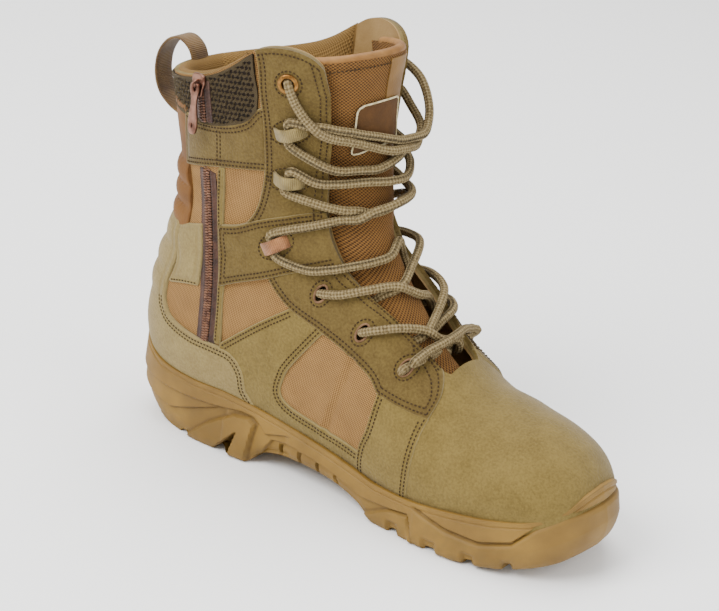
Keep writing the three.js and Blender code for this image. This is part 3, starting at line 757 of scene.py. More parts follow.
@dataclass(frozen=True)
class Woven(Finish):
    """Textured nylon in a plain weave of thick yarns: rows of small rounded knuckles with a painted
    highlight, and painted shade in the pits between them. The pitch is drawn coarser than the
    real yarn, so that it shows."""

    pitch: float = 1.25
    contrast: float = 1.0

    def look(self, on: Nodes) -> tuple[object, object, float]:
        """Alternate knuckles of warp and weft, with a painted highlight on each knuckle and painted shade
        in the pits.
        """
        across, along, _ = on.chart()
        turn = math.pi / self.pitch
        warp = on.math("SINE", on.math("MULTIPLY", across, turn))
        weft = on.math("SINE", on.math("MULTIPLY", along, turn))
        knuckle = on.math("MULTIPLY", warp, weft)
        wander = on.noise(self.mottle)
        # Painted highlight on the knuckles and painted shade in the pits.
        share = on.spread(knuckle, -0.75, 0.6, 0.5 - 0.5 * self.contrast, 1.0)
        share = on.math("MULTIPLY_ADD", on.math("SUBTRACT", wander, 0.5), 0.4, share)
        colour = self.dyed(on, share)
        return colour, on.math("ABSOLUTE", knuckle), 0.3


@dataclass(frozen=True)
class Leather(Finish):
    """Smooth dyed leather with its grain left on: fine pebbles, a low waxy gloss and softly
    blotched dye."""

    grain: float = 1.1

    def look(self, on: Nodes) -> tuple[object, object, float]:
        """Fine pebbled grain over soft dye blotches."""
        place = on.place()
        cells = add_node(on.tree, "ShaderNodeTexVoronoi", {"Vector": place, "Scale": 1000 / self.grain},
                         feature="SMOOTH_F1").outputs["Distance"]
        dye = on.spread(on.noise(self.mottle, 4.0), 0.34, 0.66)
        colour = self.dyed(on, dye)
        return colour, on.math("MULTIPLY", cells, -1.0), 0.12


@dataclass(frozen=True)
class Rubber(Finish):
    """Moulded gum rubber: an even satin skin with a fine mould grain, darker and browner in blotches
    towards the bottom, with painted shade in the grooves of its wall."""

    low_tone: str = "#5f4a1e"
    # The colour of the painted shade in the sole wall's grooves, ledges and rand joint.
    groove: str = "#4a340f"

    def look(self, on: Nodes) -> tuple[object, object, float]:
        """Mould grain, soft tone changes, blotchy darkening towards the bottom and painted shade in the
        wall's grooves.
        """
        place = on.place()
        height = add_node(on.tree, "ShaderNodeSeparateXYZ", {0: place}).outputs[2]
        share = on.spread(on.noise(self.mottle, 5.0), 0.35, 0.65)
        colour = self.dyed(on, share)
        # A blotchy darker, browner tone towards the bottom of the sole.
        low = on.spread(height, 0.0, 0.022, 0.55, 0.0)
        darkened_low = on.math("MULTIPLY", low, on.spread(on.noise(5.0), 0.4, 0.62))
        colour = on.blend(darkened_low, colour, linear(self.low_tone))
        # Painted shade: the chart's third value darkens the wall's grooves, ledges and rand joint.
        groove_shade = on.math("MULTIPLY", on.chart()[2], 0.55)
        colour = on.blend(groove_shade, colour, linear(self.groove))
        return colour, on.noise(0.7, 2.0), 0.06

    def surface(self, shader: bpy.types.Node) -> None:
        """A satin skin."""
        super().surface(shader)
        shader.inputs["Specular IOR Level"].default_value = 0.35


@dataclass(frozen=True)
class Braid(Finish):
    """Polyester cord braided round a core: slanted knuckles with a painted highlight and painted
    shade between them, and dark flecks where the second yarn shows."""

    plait: float = 1.8
    fleck: str = "#43351f"

    def look(self, on: Nodes) -> tuple[object, object, float]:
        """Crossed slanted yarns in painted highlight and painted shade, with scattered dark flecks."""
        around, along, _ = on.chart()
        turn = 2 * math.pi / self.plait
        rise = on.math("MULTIPLY", on.math("ADD", around, along), turn / 2)
        sink = on.math("MULTIPLY", on.math("SUBTRACT", around, along), turn / 2)
        knuckle = on.math("MULTIPLY", on.math("SINE", rise), on.math("SINE", sink))
        # Painted highlight on the knuckles and painted shade between them.
        colour = self.dyed(on, on.spread(knuckle, -0.7, 0.5))
        specks = on.spread(on.noise(1.1, 1.0), 0.56, 0.64, 0.0, 0.65)
        colour = on.blend(specks, colour, linear(self.fleck))
        return colour, knuckle, 0.35


@dataclass(frozen=True)
class Ribbed(Finish):
    """Polyester tape woven with fine ribs across it: a soft satin with faint lines."""

    rib: float = 1.0

    def look(self, on: Nodes) -> tuple[object, object, float]:
        """Fine ribs and slow tone changes."""
        _, along, _ = on.chart()
        ribs = on.math("SINE", on.math("MULTIPLY", along, 2 * math.pi / self.rib))
        share = on.spread(on.noise(self.mottle), 0.35, 0.65)
        share = on.math("MULTIPLY_ADD", ribs, 0.14, share)
        colour = self.dyed(on, share)
        return colour, ribs, 0.1

    def surface(self, shader: bpy.types.Node) -> None:
        """A satin of tight yarns."""
        super().surface(shader)
        shader.inputs["Sheen Weight"].default_value = 0.15


@dataclass(frozen=True)
class PlatedMetal(Finish):
    """Die-cast zinc with a barrelled antique plating: warm and half dull, with darker blotches
    beside bright rubbed ones."""

    def look(self, on: Nodes) -> tuple[object, object, float]:
        """Blotched plating with faint rub marks."""
        share = on.spread(on.noise(self.mottle, 5.0), 0.38, 0.62)
        colour = self.dyed(on, share)
        return colour, on.noise(0.6), 0.04

    def surface(self, shader: bpy.types.Node) -> None:
        """Metal, with the default IOR."""
        shader.inputs["Metallic"].default_value = 1.0
        shader.inputs["Roughness"].default_value = self.roughness


# Suede in three tones: a dry nap that scatters the light, so that no highlight shows. The deep
# tone is partly a darker dye and partly painted shade on the eyestay, collar band and ankle strap;
# the pale tone is painted light on the heel counter and zip guard.
SUEDE = Suede("brushed_suede", "suede", "#746233", "#5b4b23")
DEEP_SHADED_SUEDE = Suede("deep_shaded_brushed_suede", "suede", "#635229", "#49391a")
PALE_LIT_SUEDE = Suede("pale_lit_brushed_suede", "suede", "#857449", "#6b5b35")
# Nylon cloths: dull yarns with painted highlights on the knuckles and painted shade in the pits.
QUARTER_CLOTH = Woven("plain_weave_nylon", "woven_nylon", "#a57d48", "#523719", pitch=0.72)
TONGUE_CLOTH = Woven("tongue_nylon", "woven_nylon", "#7f5828", "#301d09", pitch=0.85)
LINING_CLOTH = Woven("lining_nylon", "lining_cloth", "#8a6a38", "#543c1a", pitch=0.8, contrast=0.8)
# Smooth leathers: fine grain under a low waxy gloss.
LINING_LEATHER = Leather("lining_leather", "lining_cloth", "#92764a", "#7d6136", 0.62, 22)
TONGUE_LEATHER = Leather("tongue_leather", "woven_nylon", "#785726", "#644619", 0.6, 18)
GUARD_LEATHER = Leather("guard_leather", "suede", "#6b4518", "#593813", 0.75, 15)
BINDING_LEATHER = Leather("binding_leather", "woven_nylon", "#8a6230", "#6a4519", 0.55, 12)
HOLE_RIM = Leather("hole_rim_leather", "suede", "#75563a", "#52361e", 0.6, 5)
# Leather pressed flat where it was cut: paler, with little grain.
EDGE_LEATHER = Leather("pressed_edge_leather", "suede", "#75643a", "#5d4d27", 0.8, 10)
# A knit of dull dark yarns, and the open foam behind it, painted nearly black as the shade deep
# inside the knit's holes.
KNIT = Woven("spacer_knit", "lining_cloth", "#4b3e26", "#2a200e", pitch=0.6, contrast=0.7)
SHADE_FOAM = Finish("collar_foam_painted_shade", "lining_cloth", "#1d1208", "#120b04", 0.95)
# Moulded gum rubber: an even satin with soft highlights on its edges, painted shade in its
# grooves and a blotchy darker tone towards the bottom.
RUBBER = Rubber("gum_rubber", "sole_rubber", "#7b5d21", "#664b17", 0.62, 26)
# Braided polyester: lit and shaded yarns that cross, with scattered dark flecks.
LACE = Braid("braided_cord", "lace_cord", "#887754", "#5c4c2c")
# Satin tapes: fine ribs with a soft glow along the fold.
WEBBING = Ribbed("satin_webbing", "webbing", "#847140", "#63532a", 0.5, 7)
TAN_WEBBING = Ribbed("tan_webbing", "webbing", "#946238", "#6b4220", 0.5, 7)
LOOP_TAPE = Ribbed("pull_loop_tape", "webbing", "#64491f", "#4a3316", 0.7, 10)
ZIP_TAPE = Ribbed("zip_tape_weave", "zip_tape", "#46291a", "#28130a", 0.8, 6, rib=0.8)
# Moulded acetal teeth: dyed plastic with small soft highlights.
ZIP_TEETH = Finish("moulded_zip_teeth", "zip_tape", "#7a543c", "#47291c", 0.45, 3)
# Bonded nylon thread: thin dark dashes, and a thick pale cord round the label.
THREAD = Finish("bonded_thread", "suede", "#3a290f", "#261a09", 0.9, 2)
PALE_THREAD = Finish("pale_thread", "suede", "#cfc3a0", "#a99a70", 0.7, 2)
# Plated zinc: warm metal with blurred reflections and browner blotches.
BRASS = PlatedMetal("antique_brass", "bronze_metal", "#9c7440", "#6b4822", 0.42, 4)
BRONZE = PlatedMetal("rose_bronze", "bronze_metal", "#8a6656", "#5b3d31", 0.36, 5)
# The blank label: a smooth dark patch with a fine dull grain.
LABEL = Leather("label_blank", "woven_nylon", "#4e310e", "#3c250a", 0.8, 9)
# Brushed insole cloth: a soft even pile.
INSOLE_CLOTH = Finish("brushed_insole_cloth", "lining_cloth", "#a58552", "#836437", 0.95, 9)


# ---- the form as a fine mesh -------------------------------------------------------------------
def sole_top(x: Array) -> Array:
    """The height of the sole's rand at places along it."""
    return np.interp(x, SOLE[:, 0], SOLE[:, 3])


@dataclass
class LastMesh:
    """The last's surface as an even mesh, with what the panels are cut by.

    Args:
        spacing: the mean distance between rows, in mm.
        columns: points down each side, from the front to the back.
        low: the first section.
        high: the last section.
        ring_hole: the radius of the hole inside a ring eyelet.
        oval_hole: the radius of an oval hole's ends.
        oval_reach: how far its ends' middles lie from its own.
    """

    spacing: float = 1.6
    columns: int = 112
    low: float = 0.0
    high: float = 18.0
    ring_hole: float = 3.0
    oval_hole: float = 2.7
    oval_reach: float = 2.2

    def places(self) -> tuple[Array, Array]:
        """The rows' sections and each point's angle, even along the surface."""
        dense = np.linspace(self.low, self.high, 1200)
        ring = surface(dense[:, None], np.linspace(0, 180, 61)[None, :])
        speed = np.sqrt((np.linalg.norm(np.diff(ring, axis=0), axis=2) ** 2).mean(1))
        travel = np.concatenate([[0], np.cumsum(speed)])
        rows = np.interp(np.arange(0, travel[-1], self.spacing), travel, dense)
        fine = np.linspace(0, 180, 721)
        share = np.linspace(0, 1, self.columns + 1)
        angles = []
        for side in BOTH:
            ring = surface(rows[:, None], fine[None, :] * side.value)
            step = np.linalg.norm(np.diff(ring, axis=1), axis=2)
            length = np.concatenate([np.zeros((len(rows), 1)), np.cumsum(step, axis=1)], 1)
            angles.append(np.array([np.interp(share * row[-1], row, fine) for row in length]))
        ring = np.concatenate([angles[0], -angles[1][:, -2:0:-1]], 1)
        return rows, ring

    def patch(self) -> Patch:
        """The whole surface, cut at the rim, the throat, the lacing holes and the sole."""
        rows, ring = self.places()
        at = np.repeat(rows[:, None], ring.shape[1], 1)
        co = surface(at, ring).reshape(-1, 3)
        out, _ = outward(at.ravel(), ring.ravel())
        quads = grid_faces(len(rows), ring.shape[1], wrap=True)
        faces = triangles(quads)
        data = {"co": co, "out": out, "at": at.ravel(), "angle": ring.ravel()}
        patch = Patch(data, faces)
        data["rim"] = co[:, 2] - rim_height(co[:, 0])
        slot = np.minimum(throat_half(at.ravel()) - np.abs(co[:, 1]), (at.ravel() - THROAT[0, 0]) * 24)
        data["throat"] = np.where(np.abs(ring.ravel()) < 100, slot, -50.0)
        data["bed"] = sole_top(co[:, 0]) - 9 - co[:, 2]
        for name in ("rim", "throat", "bed"):
            patch = patch.split(name, 0.0, drop=True)
        for index, (kind, at_place, angle) in enumerate(lacing_places()):
            if kind is Lacing.LOOP:
                continue
            name = f"hole{index}"
            patch.data[name] = np.minimum(*[self.punch(patch, kind, at_place, angle, side)
                                            for side in BOTH])
            patch.data[name] *= -1
            patch = patch.split(name, 0.0, drop=True)
            del patch.data[name]
        return patch

    def punch(self, patch: Patch, kind: Lacing, at: float, angle: float, side: Side) -> Array:
        """How far each point is from the edge of one lacing hole."""
        centre, across, along, _ = lacing_frame(at, angle, side)
        away = patch.data["co"] - centre
        if kind is Lacing.RING:
            return np.linalg.norm(away, axis=1) - self.ring_hole
        slant = hole_slant(across, along, side)
        run = np.clip(away @ slant, -self.oval_reach, self.oval_reach)
        return np.linalg.norm(away - run[:, None] * slant, axis=1) - self.oval_hole


def rim_height(x: Array) -> Array:
    """The height of the collar's rim, smoothed, at places along the boot."""
    line = smooth_line(RIM, 1.0)
    return np.interp(x, line[:, 0], line[:, 1])


def lacing_places() -> list[tuple[Lacing, float, float]]:
    """The lacing points' kinds and places on the form."""
    found = []
    for kind, x, z in LACING:
        at, angle = side_place(x, z, Side.OUTER)
        found.append((kind, float(at), float(angle)))
    return found


def lacing_frame(at: float, angle: float, side: Side, lift: float = 0.0) -> tuple[Array, ...]:
    """A lacing point, and the directions across towards the back, up and out from it."""
    spot = surface(at, angle * side.value)
    out, along = outward(at, angle * side.value)
    across = unit(np.cross(along, out))
    return spot + out * lift, across, along, out


def hole_slant(across: Array, along: Array, side: Side) -> Array:
    """The long direction of an oval lacing hole, which leans across the facing."""
    return unit(across * side.value * -0.9 + along * 0.3)


# ---- panels ------------------------------------------------------------------------------------
@dataclass
class Panel:
    """One cut piece of the upper, laid on the form in side view.

    Args:
        name: its name.
        finish: what it is made of.
        runs: its outline as smooth runs of (x, z) that meet in corners, each from where the run
            before it ends.
        lift: how far it stands off the form, in mm.
        sewn: the runs that carry a double row of stitches.
        sides: the sides of the foot it is on.
        window: an opening in it, as runs.
        window_sewn: the window's runs that carry stitches.
        rolls: the height of soft rolls across it, in mm.
        roll_pitch: their distance apart.
        roll_span: the lowest and highest z they reach.
        rows: how far in the rows of stitches lie.
        bevel: how far in its rounded edge reaches.
    """

    name: str
    finish: Finish
    runs: list[list[Point]]
    lift: float
    sewn: tuple[int, ...] = ()
    sides: tuple[Side, ...] = BOTH
    window: list[list[Point]] | None = None
    window_sewn: tuple[int, ...] = ()
    rolls: float = 0.0
    roll_pitch: float = 12.5
    roll_span: Point = (0, 0)
    rows: tuple[float, ...] = (1.8, 4.0)
    bevel: float = 1.1

    def cut(self, whole: Patch) -> Patch:
        """The panel cut out of the form's mesh, with its edge distance."""
        co = whole.data["co"]
        flat = co[:, [0, 2]]
        outline = closed_outline(self.runs)
        inset = np.full(len(co), 40.0)
        low, high = outline.min(0) - 3, outline.max(0) + 3
        close = np.all((flat > low) & (flat < high), 1)
        inset[close] = outline_distance(flat[close], outline)
        if self.window:
            hole = outline_distance(flat[close], closed_outline(self.window))
            inset[close] = np.maximum(inset[close], -hole)
        if self.sides != BOTH:
            inset = np.maximum(inset, -co[:, 1] * self.sides[0].value)
        patch = Patch({**whole.data, "inset": inset}, whole.faces)
        patch = patch.split("inset", 0.0, drop=True)
        for level in (-0.35 * self.bevel, -self.bevel):
            patch = patch.split("inset", level, drop=False)
        return patch

    def heights(self, patch: Patch) -> Array:
        """Each point's lift: a rounded edge, the panel's thickness and its rolls."""
        depth = np.clip(-patch.data["inset"] / self.bevel, 0, 1)
        lift = self.lift * (0.45 + 0.55 * np.sqrt(1 - (1 - depth) ** 2))
        if self.rolls:
            z = patch.data["co"][:, 2]
            low, high = self.roll_span
            wave = np.abs(np.sin((z - low) / self.roll_pitch * math.pi)) ** 0.7
            reach = ramp(np.abs(patch.data["angle"]), 108, 140) * ((z > low) & (z < high))
            lift = lift + self.rolls * wave * reach
        return lift

    def build(self, whole: Patch) -> bpy.types.Object:
        """Makes the panel's piece."""
        patch = self.cut(whole)
        co = patch.data["co"]
        patch.data["chart"] = np.stack([co[:, 0], co[:, 2], -patch.data["inset"]], 1)
        body = Body()
        crease = creases(co)
        thicken(body, patch, self.heights(patch) + crease, crease - 0.7)
        return body.build(self.name, self.finish)

    def seams(self) -> list[tuple[Array, Side, float]]:
        """The rows of stitches: line in side view, side and lift."""
        found = []
        for runs, chosen, inward in ((self.runs, self.sewn, 1), (self.window, self.window_sewn, -1)):
            if not runs or not chosen:
                continue
            outline = closed_outline(runs)
            x, z = outline.T
            turn = np.sign((x * np.roll(z, -1) - np.roll(x, -1) * z).sum()) * inward
            for index in chosen:
                line = smooth_line(chained(runs)[index], 0.8)
                tangent = unit(np.gradient(line, axis=0))
                normal = np.stack([-tangent[:, 1], tangent[:, 0]], 1) * turn
                for row in self.rows:
                    moved = line + normal * row
                    away = -outline_distance(moved, outline) * inward
                    found += [(moved[away > row - 0.5], side, self.lift) for side in self.sides]
        return found


# Soft folds of the worn-in leather: a line in side view, its depth and half width.
FOLDS = [([(8, 82), (4, 64), (-2, 41)], 1.1, 2.2), ([(-45, 160), (-36, 150), (-30, 152)], 0.7, 4),
         ([(62, 84), (72, 62), (70, 44)], 0.5, 6), ([(-52, 128), (-62, 122), (-74, 118)], 0.5, 4),
         ([(-66, 84), (-58, 92), (-50, 94)], 0.5, 3.5), ([(-6, 66), (-18, 60), (-24, 54)], 0.5, 3)]


def creases(co: Array) -> Array:
    """How far the soft folds and the leather's own unevenness move each point, in mm."""
    flat = co[:, [0, 2]]
    sag = 0.25 * np.sin(co[:, 0] * 0.11 + 1.3 * np.sin(co[:, 2] * 0.06)) * np.sin(co[:, 2] * 0.13)
    for line, depth, width in FOLDS:
        away = line_distance(flat, line)
        sag -= depth * np.exp(-(away / width) ** 2)
        sag += depth * 0.5 * np.exp(-((away - 2 * width) / width) ** 2)
    return sag


PANELS = [
    Panel("vamp", SUEDE,
          [[(44, 100), (47, 60), (46, 2)], [(165, 2)], [(165, 140)], [(46, 140)]], 0.7),
    Panel("middle_quarter", SUEDE,
          [[(-54, 84), (-35, 98)], [(-26, 103), (4, 93), (34, 76)], [(36, 60), (31, 35), (28, 6)],
          [(-80, 6)], [(-77, 65)]], 1.3, sewn=(0,),
          window=[[(-29, 67), (-33, 58), (-34, 49), (-26, 43.5), (-3, 39.5), (10, 37.6), (21, 35.8)],
          [(30, 34)], [(36, 74)], [(8, 91), (-13, 90)]], window_sewn=(0,)),
    Panel("heel_counter", PALE_LIT_SUEDE,
          [[(-112, 106), (-117, 91), (-119, 79)], [(-118, 74), (-113, 68), (-97, 64), (-81, 63),
          (-68, 61), (-60, 53), (-57, 42), (-50, 33), (-44, 20)], [(-44, 2), (-170, 2)], [(-170, 124)],
          [(-114, 124)]], 2.0, sewn=(1,), rolls=1.8, roll_span=(78, 124), roll_pitch=15.3),
    Panel("zip_guard", PALE_LIT_SUEDE,
          [[(-107, 125.5), (-94.5, 129.5)], [(-92.5, 110), (-93.8, 93.5)], [(-105, 91.5), (-117, 88)],
          [(-112, 106), (-123, 121)]], 1.5, sewn=(2,), sides=(Side.INNER,), rows=(1.6,)),
    Panel("zip_facing", SUEDE,
          [[(-85, 148), (-83.4, 131), (-81.2, 110), (-80.6, 88), (-81, 64)], [(-76.4, 64)],
          [(-76.6, 88), (-77, 110), (-79.4, 131), (-80.6, 148), (-80, 166)], [(-84.5, 166)]], 1.4,
          sewn=(0,), sides=(Side.INNER,), rows=(1.5,)),
    Panel("collar_band", DEEP_SHADED_SUEDE,
          [[(-106, 188.6), (-96, 188), (-79, 191), (-67, 196), (-60, 204), (-52, 208)], [(-52, 171)],
          [(-60, 170), (-84, 165.5), (-111.5, 158)], [(-112, 170), (-110.5, 189)]], 1.5, sewn=(0, 2)),
    Panel("flex_guard", GUARD_LEATHER,
          [[(-111, 170), (-109, 156), (-106, 138), (-106, 124)], [(-112, 121), (-170, 118)],
          [(-170, 192)], [(-109.5, 192)]], 1.0, rolls=2.6, roll_span=(121, 158), roll_pitch=12.3),
    Panel("eyestay", DEEP_SHADED_SUEDE,
          [[(-59.5, 231), (-58, 215), (-56, 195), (-56, 170), (-60, 149), (-66, 138)],
          [(-64, 126), (-52, 114)], [(-45, 106), (-34, 98), (-15, 91.5), (4, 84.5), (19, 77), (26.5, 70)],
          [(42, 66.5), (57.5, 64.5)], [(57.5, 74), (53, 82), (47, 88), (38, 96), (34, 110)],
          [(20, 150), (10, 260)], [(-66, 250)]], 1.9, sewn=(0, 2, 3, 4)),
    Panel("front_quarter", SUEDE,
          [[(26, 60), (24.6, 50), (21, 37), (20, 8)], [(56, 8)], [(56.5, 34), (57, 57), (58, 66)],
          [(44, 70), (27, 74)]], 1.6, sewn=(0, 2)),
    Panel("ankle_strap", DEEP_SHADED_SUEDE,
          [[(-71, 136), (-58, 142.5), (-41, 149), (-24, 154.5)], [(-18, 141), (-10, 128)],
          [(-22, 123), (-37, 117), (-50, 111), (-68, 103.5), (-79.6, 98)],
          [(-79.8, 115), (-82.5, 133.2)]], 3.0, sewn=(0, 2, 3)),
]


@dataclass
class Stitching:
    """Rows of sewing thread, joined into one mesh for each side.

    Args:
        pitch: from stitch to stitch, in mm.
        length: the thread that shows.
        radius: half its thickness.
        flat: how high it stands for its width.
    """

    pitch: float = 2.15
    length: float = 1.5
    radius: float = 0.42
    flat: float = 0.8

    def stitch(self) -> tuple[Array, Array]:
        """One stitch: a short rounded bar along x."""
        half, r = self.length / 2, self.radius
        turn = np.arange(5) / 5 * 2 * math.pi
        ring = np.stack([np.zeros(5), np.cos(turn) * r, np.sin(turn) * r], 1)
        points = np.concatenate([[[-half, 0, 0]], ring - [half * 0.7, 0, 0],
                                 ring + [half * 0.7, 0, 0], [[half, 0, 0]]])
        faces = []
        for k in range(5):
            j = (k + 1) % 5
            faces += [[0, 1 + j, 1 + k], [1 + k, 1 + j, 6 + j], [1 + k, 6 + j, 6 + k],
                      [6 + k, 6 + j, 11]]
        return points, np.array(faces)

    def sew(self, body: Body, line: Array, normal: Array) -> None:
        """Adds a row of stitches along a line on the surface.

        Args:
            body: the mesh they join.
            line: the line's points.
            normal: the surface's outward direction at each.
        """
        if len(line) < 3:
            return
        travel = travelled(line)
        count = int(travel[-1] / self.pitch)
        if count < 1:
            return
        centre = (np.arange(count) + 0.5) * travel[-1] / count
        tangent = unit(np.gradient(line, axis=0))
        rows = [np.stack([np.interp(centre, travel, v[:, k]) for k in range(3)], 1)
                for v in (line, tangent, normal)]
        place, along, out = rows[0], unit(rows[1]), unit(rows[2])
        shape, faces = self.stitch()
        repeat_shape(body, shape * [1, 1, self.flat], faces, place, (along, np.cross(out, along), out))

    def side_row(self, body: Body, line: Array, side: Side, lift: float) -> None:
        """Adds a row that is drawn in side view, where it clears the rim and the throat."""
        at, angle = side_place(line[:, 0], line[:, 1], side)
        spot = surface(at, angle)
        half = throat_half(at)
        clear = ((spot[:, 2] < rim_height(spot[:, 0]) - 1.3) & (at < 17.9)
                 & ~((np.abs(spot[:, 1]) < half + 1.3) & (np.abs(angle) < 90) & (at > 6.4)))
        out, _ = outward(at, angle)
        path = spot + out * (lift + 0.12 + creases(spot))[:, None]
        for run in true_runs(clear):
            self.sew(body, path[run], out[run])


@dataclass
class Upper:
    """The upper: its shell, cut panels, collar knit, padded collar, lining, stitches and rims."""

    facing_lift: float = 1.9
    rim_oval: Point = (5.2, 3.0)
    rim_radius: float = 0.62
    edge_insets: Point = (1.3, 2.9)
    knit_pitch: Point = (3.0, 2.9)
    knit_lift: float = 1.3
    pad_thick: float = 8.0
    pad_drop: float = 24.0
    leather_from: float = -68.0

    def build(self) -> None:
        """Makes every piece of the upper."""
        mesh = LastMesh()
        whole = mesh.patch()
        self.shell(whole)
        for panel in PANELS:
            panel.build(whole)
        self.knit()
        self.padding()
        self.lining()
        self.stitches()
        self.hole_rims()

    def hole_rims(self) -> None:
        """The turned leather rims of the oval lacing holes."""
        body = Body()
        for side in BOTH:
            for kind, at, angle in lacing_places():
                if kind is not Lacing.HOLE:
                    continue
                centre, across, along, out = lacing_frame(at, angle, side, self.facing_lift)
                slant = hole_slant(across, along, side)
                turn = np.linspace(0, 2 * math.pi, 40)
                long, short = self.rim_oval
                ring = (centre + slant * np.cos(turn)[:, None] * long
                        + np.cross(out, slant) * np.sin(turn)[:, None] * short)
                sweep(body, ring, ring_profile(self.rim_radius, 8))
        body.build("oval_hole_rims", HOLE_RIM)

    def shell(self, whole: Patch) -> None:
        """The base layer of nylon and foam that shows in the windows."""
        co = whole.data["co"]
        whole.data["chart"] = edgeless_chart(co[:, 0] * 0.8 + co[:, 2] * 0.6,
                                             co[:, 2] * 0.8 - co[:, 0] * 0.6)
        body = Body()
        crease = creases(co)
        puff = 0.5 * np.sin(co[:, 2] * 0.16) * ramp(-co[:, 0], -10, 60)
        thicken(body, whole, crease + puff * 0.6 - 0.2, crease - WALL + 0.4, 0, 1)
        piece = body.build("upper_shell", QUARTER_CLOTH, EDGE_LEATHER)
        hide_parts("upper")

    def knit(self) -> None:
        """The open knit round the back of the collar, with real holes over foam painted near black as the
        shade inside them.
        """
        mesh = LastMesh(spacing=0.95, columns=175, low=14.2, high=18.0)
        rows, ring = mesh.places()
        at = np.repeat(rows[:, None], ring.shape[1], 1).ravel()
        co, out = surface(at, ring.ravel()), outward(at, ring.ravel())[0]
        quads = grid_faces(len(rows), ring.shape[1], wrap=True)
        quads = quads[(co[quads[:, 0], 0] < -54)]
        faces = triangles(quads)
        outline = closed_outline([
            [(-121, 187), (-106, 187), (-96, 187), (-79, 190), (-66, 195), (-59.5, 203)],
            [(-59, 214), (-61, 224), (-64, 250)], [(-170, 250)], [(-170, 186)]])
        patch = Patch({"co": co, "out": out, "at": at, "angle": ring.ravel()}, faces).keep(faces)
        co = patch.data["co"]
        patch.data["inset"] = np.maximum(outline_distance(co[:, [0, 2]], outline),
                                         co[:, 2] - rim_height(co[:, 0]) + 1.2)
        patch = patch.split("inset", 0.0, drop=True)
        co = patch.data["co"]
        around = np.arctan2(co[:, 1], -(co[:, 0] + 70)) * 56
        rise = co[:, 2] - co[:, 0] * 0.12
        patch.data["chart"] = edgeless_chart(around, rise)
        row = rise / self.knit_pitch[1]
        shift = np.where(np.floor(row).astype(int) % 2, 0.5, 0.0)
        beat = (np.cos((around / self.knit_pitch[0] + shift) * 2 * math.pi)
                - np.cos(row * 2 * math.pi))
        solid_edge = ramp(-patch.data["inset"], 1.2, 2.2)
        patch.data["hole"] = np.where(solid_edge > 0.5, beat, -1.0)
        # The foam under the holes, painted near black as their shade.
        foam = Body()
        thicken(foam, patch, np.full(len(co), 0.45), np.full(len(co), -0.4))
        foam.build("collar_foam_painted_shade", SHADE_FOAM)
        patch = patch.split("hole", 0.05, drop=True)
        beat = patch.data["hole"]
        lift = self.knit_lift - 0.6 * ramp(beat, -0.6, 0.05) - 0.25 * ramp(-beat, 1.2, 2.0)
        body = Body()
        thicken(body, patch, lift, lift - 0.7)
        body.build("collar_knit", KNIT)

    def padding(self) -> None:
        """The padded roll of lining cloth inside the collar, behind the facings."""
        step, half = 2.0, self.pad_thick / 2
        line = smooth_line(RIM, step)
        line = line[(line[:, 0] < -66) & (line[:, 0] > -139.5)]
        (at, outer), (_, inner) = (side_place(line[:, 0], line[:, 1], side) for side in BOTH)
        behind = np.linspace(float(outer[0]), 360 + float(inner[0]), 22)[1:-1]
        at = np.concatenate([at[::-1], np.full(len(behind), at[0]), at])
        angle = np.concatenate([outer[::-1], behind, inner])
        spot, (out, along) = surface(at, angle), outward(at, angle)
        ends = np.minimum(np.arange(len(spot)), np.arange(len(spot))[::-1]) / 6.0
        swell = np.sqrt(np.clip(1 - (1 - np.minimum(ends, 1)) ** 2, 0.08, 1))
        ring = []
        for turn in np.linspace(0, 2 * math.pi, 25)[:-1]:
            depth = -0.6 - half + math.cos(turn) * half
            reach = signed_power(np.array(math.sin(turn)), 0.6) * self.pad_drop / 2
            drop = 1.0 - self.pad_drop / 2 + reach
            depth = np.minimum(depth * (0.35 + 0.65 * swell), 0.2)
            ring.append(spot + out * depth[:, None] + along * float(drop))
        grid = np.stack(ring, 1)
        count, n = grid.shape[:2]
        body = Body()
        body.add(grid, grid_faces(count, n, wrap=True),
                 edgeless_chart(np.arange(n)[None] * step, np.arange(count)[:, None] * step))
        body.faces += [list(range(n))[::-1], list(range(n * (count - 1), n * count))]
        body.slots += [0, 0]
        piece = body.build("collar_padding", LINING_CLOTH, sharp=70)

    def lining(self) -> None:
        """The lining inside: smooth leather behind the facings, nylon behind it."""
        mesh = LastMesh(spacing=2.6, columns=80)
        whole = mesh.patch()
        co = whole.data["co"]
        whole.data["chart"] = edgeless_chart(co[:, 0], co[:, 2])
        whole.data["front"] = self.leather_from - co[:, 0]
        whole = whole.split("front", 0.0, drop=False)
        body = Body()
        centre = whole.data["front"][whole.faces].mean(1)
        for slot, chosen in enumerate((centre > 0, centre <= 0)):
            part = whole.keep(whole.faces[chosen])
            crease = creases(part.data["co"])
            lift = -WALL + 0.35 * slot
            thicken(body, part, crease - WALL + 0.35, crease + lift - 0.9, slot)
        body.build("upper_lining", LINING_CLOTH, LINING_LEATHER)

    def stitches(self) -> None:
        """All the rows of sewing thread on the upper."""
        sewing = Stitching()
        for side in BOTH:
            body = Body()
            for panel in PANELS:
                for line, where, lift in panel.seams():
                    if where is side and len(line) > 3:
                        sewing.side_row(body, line, side, lift)
            self.edge_rows(sewing, body, side)
            self.eyelet_rows(sewing, body, side)
            name = f"stitches_{side.name.lower()}"
            body.build(name, THREAD)

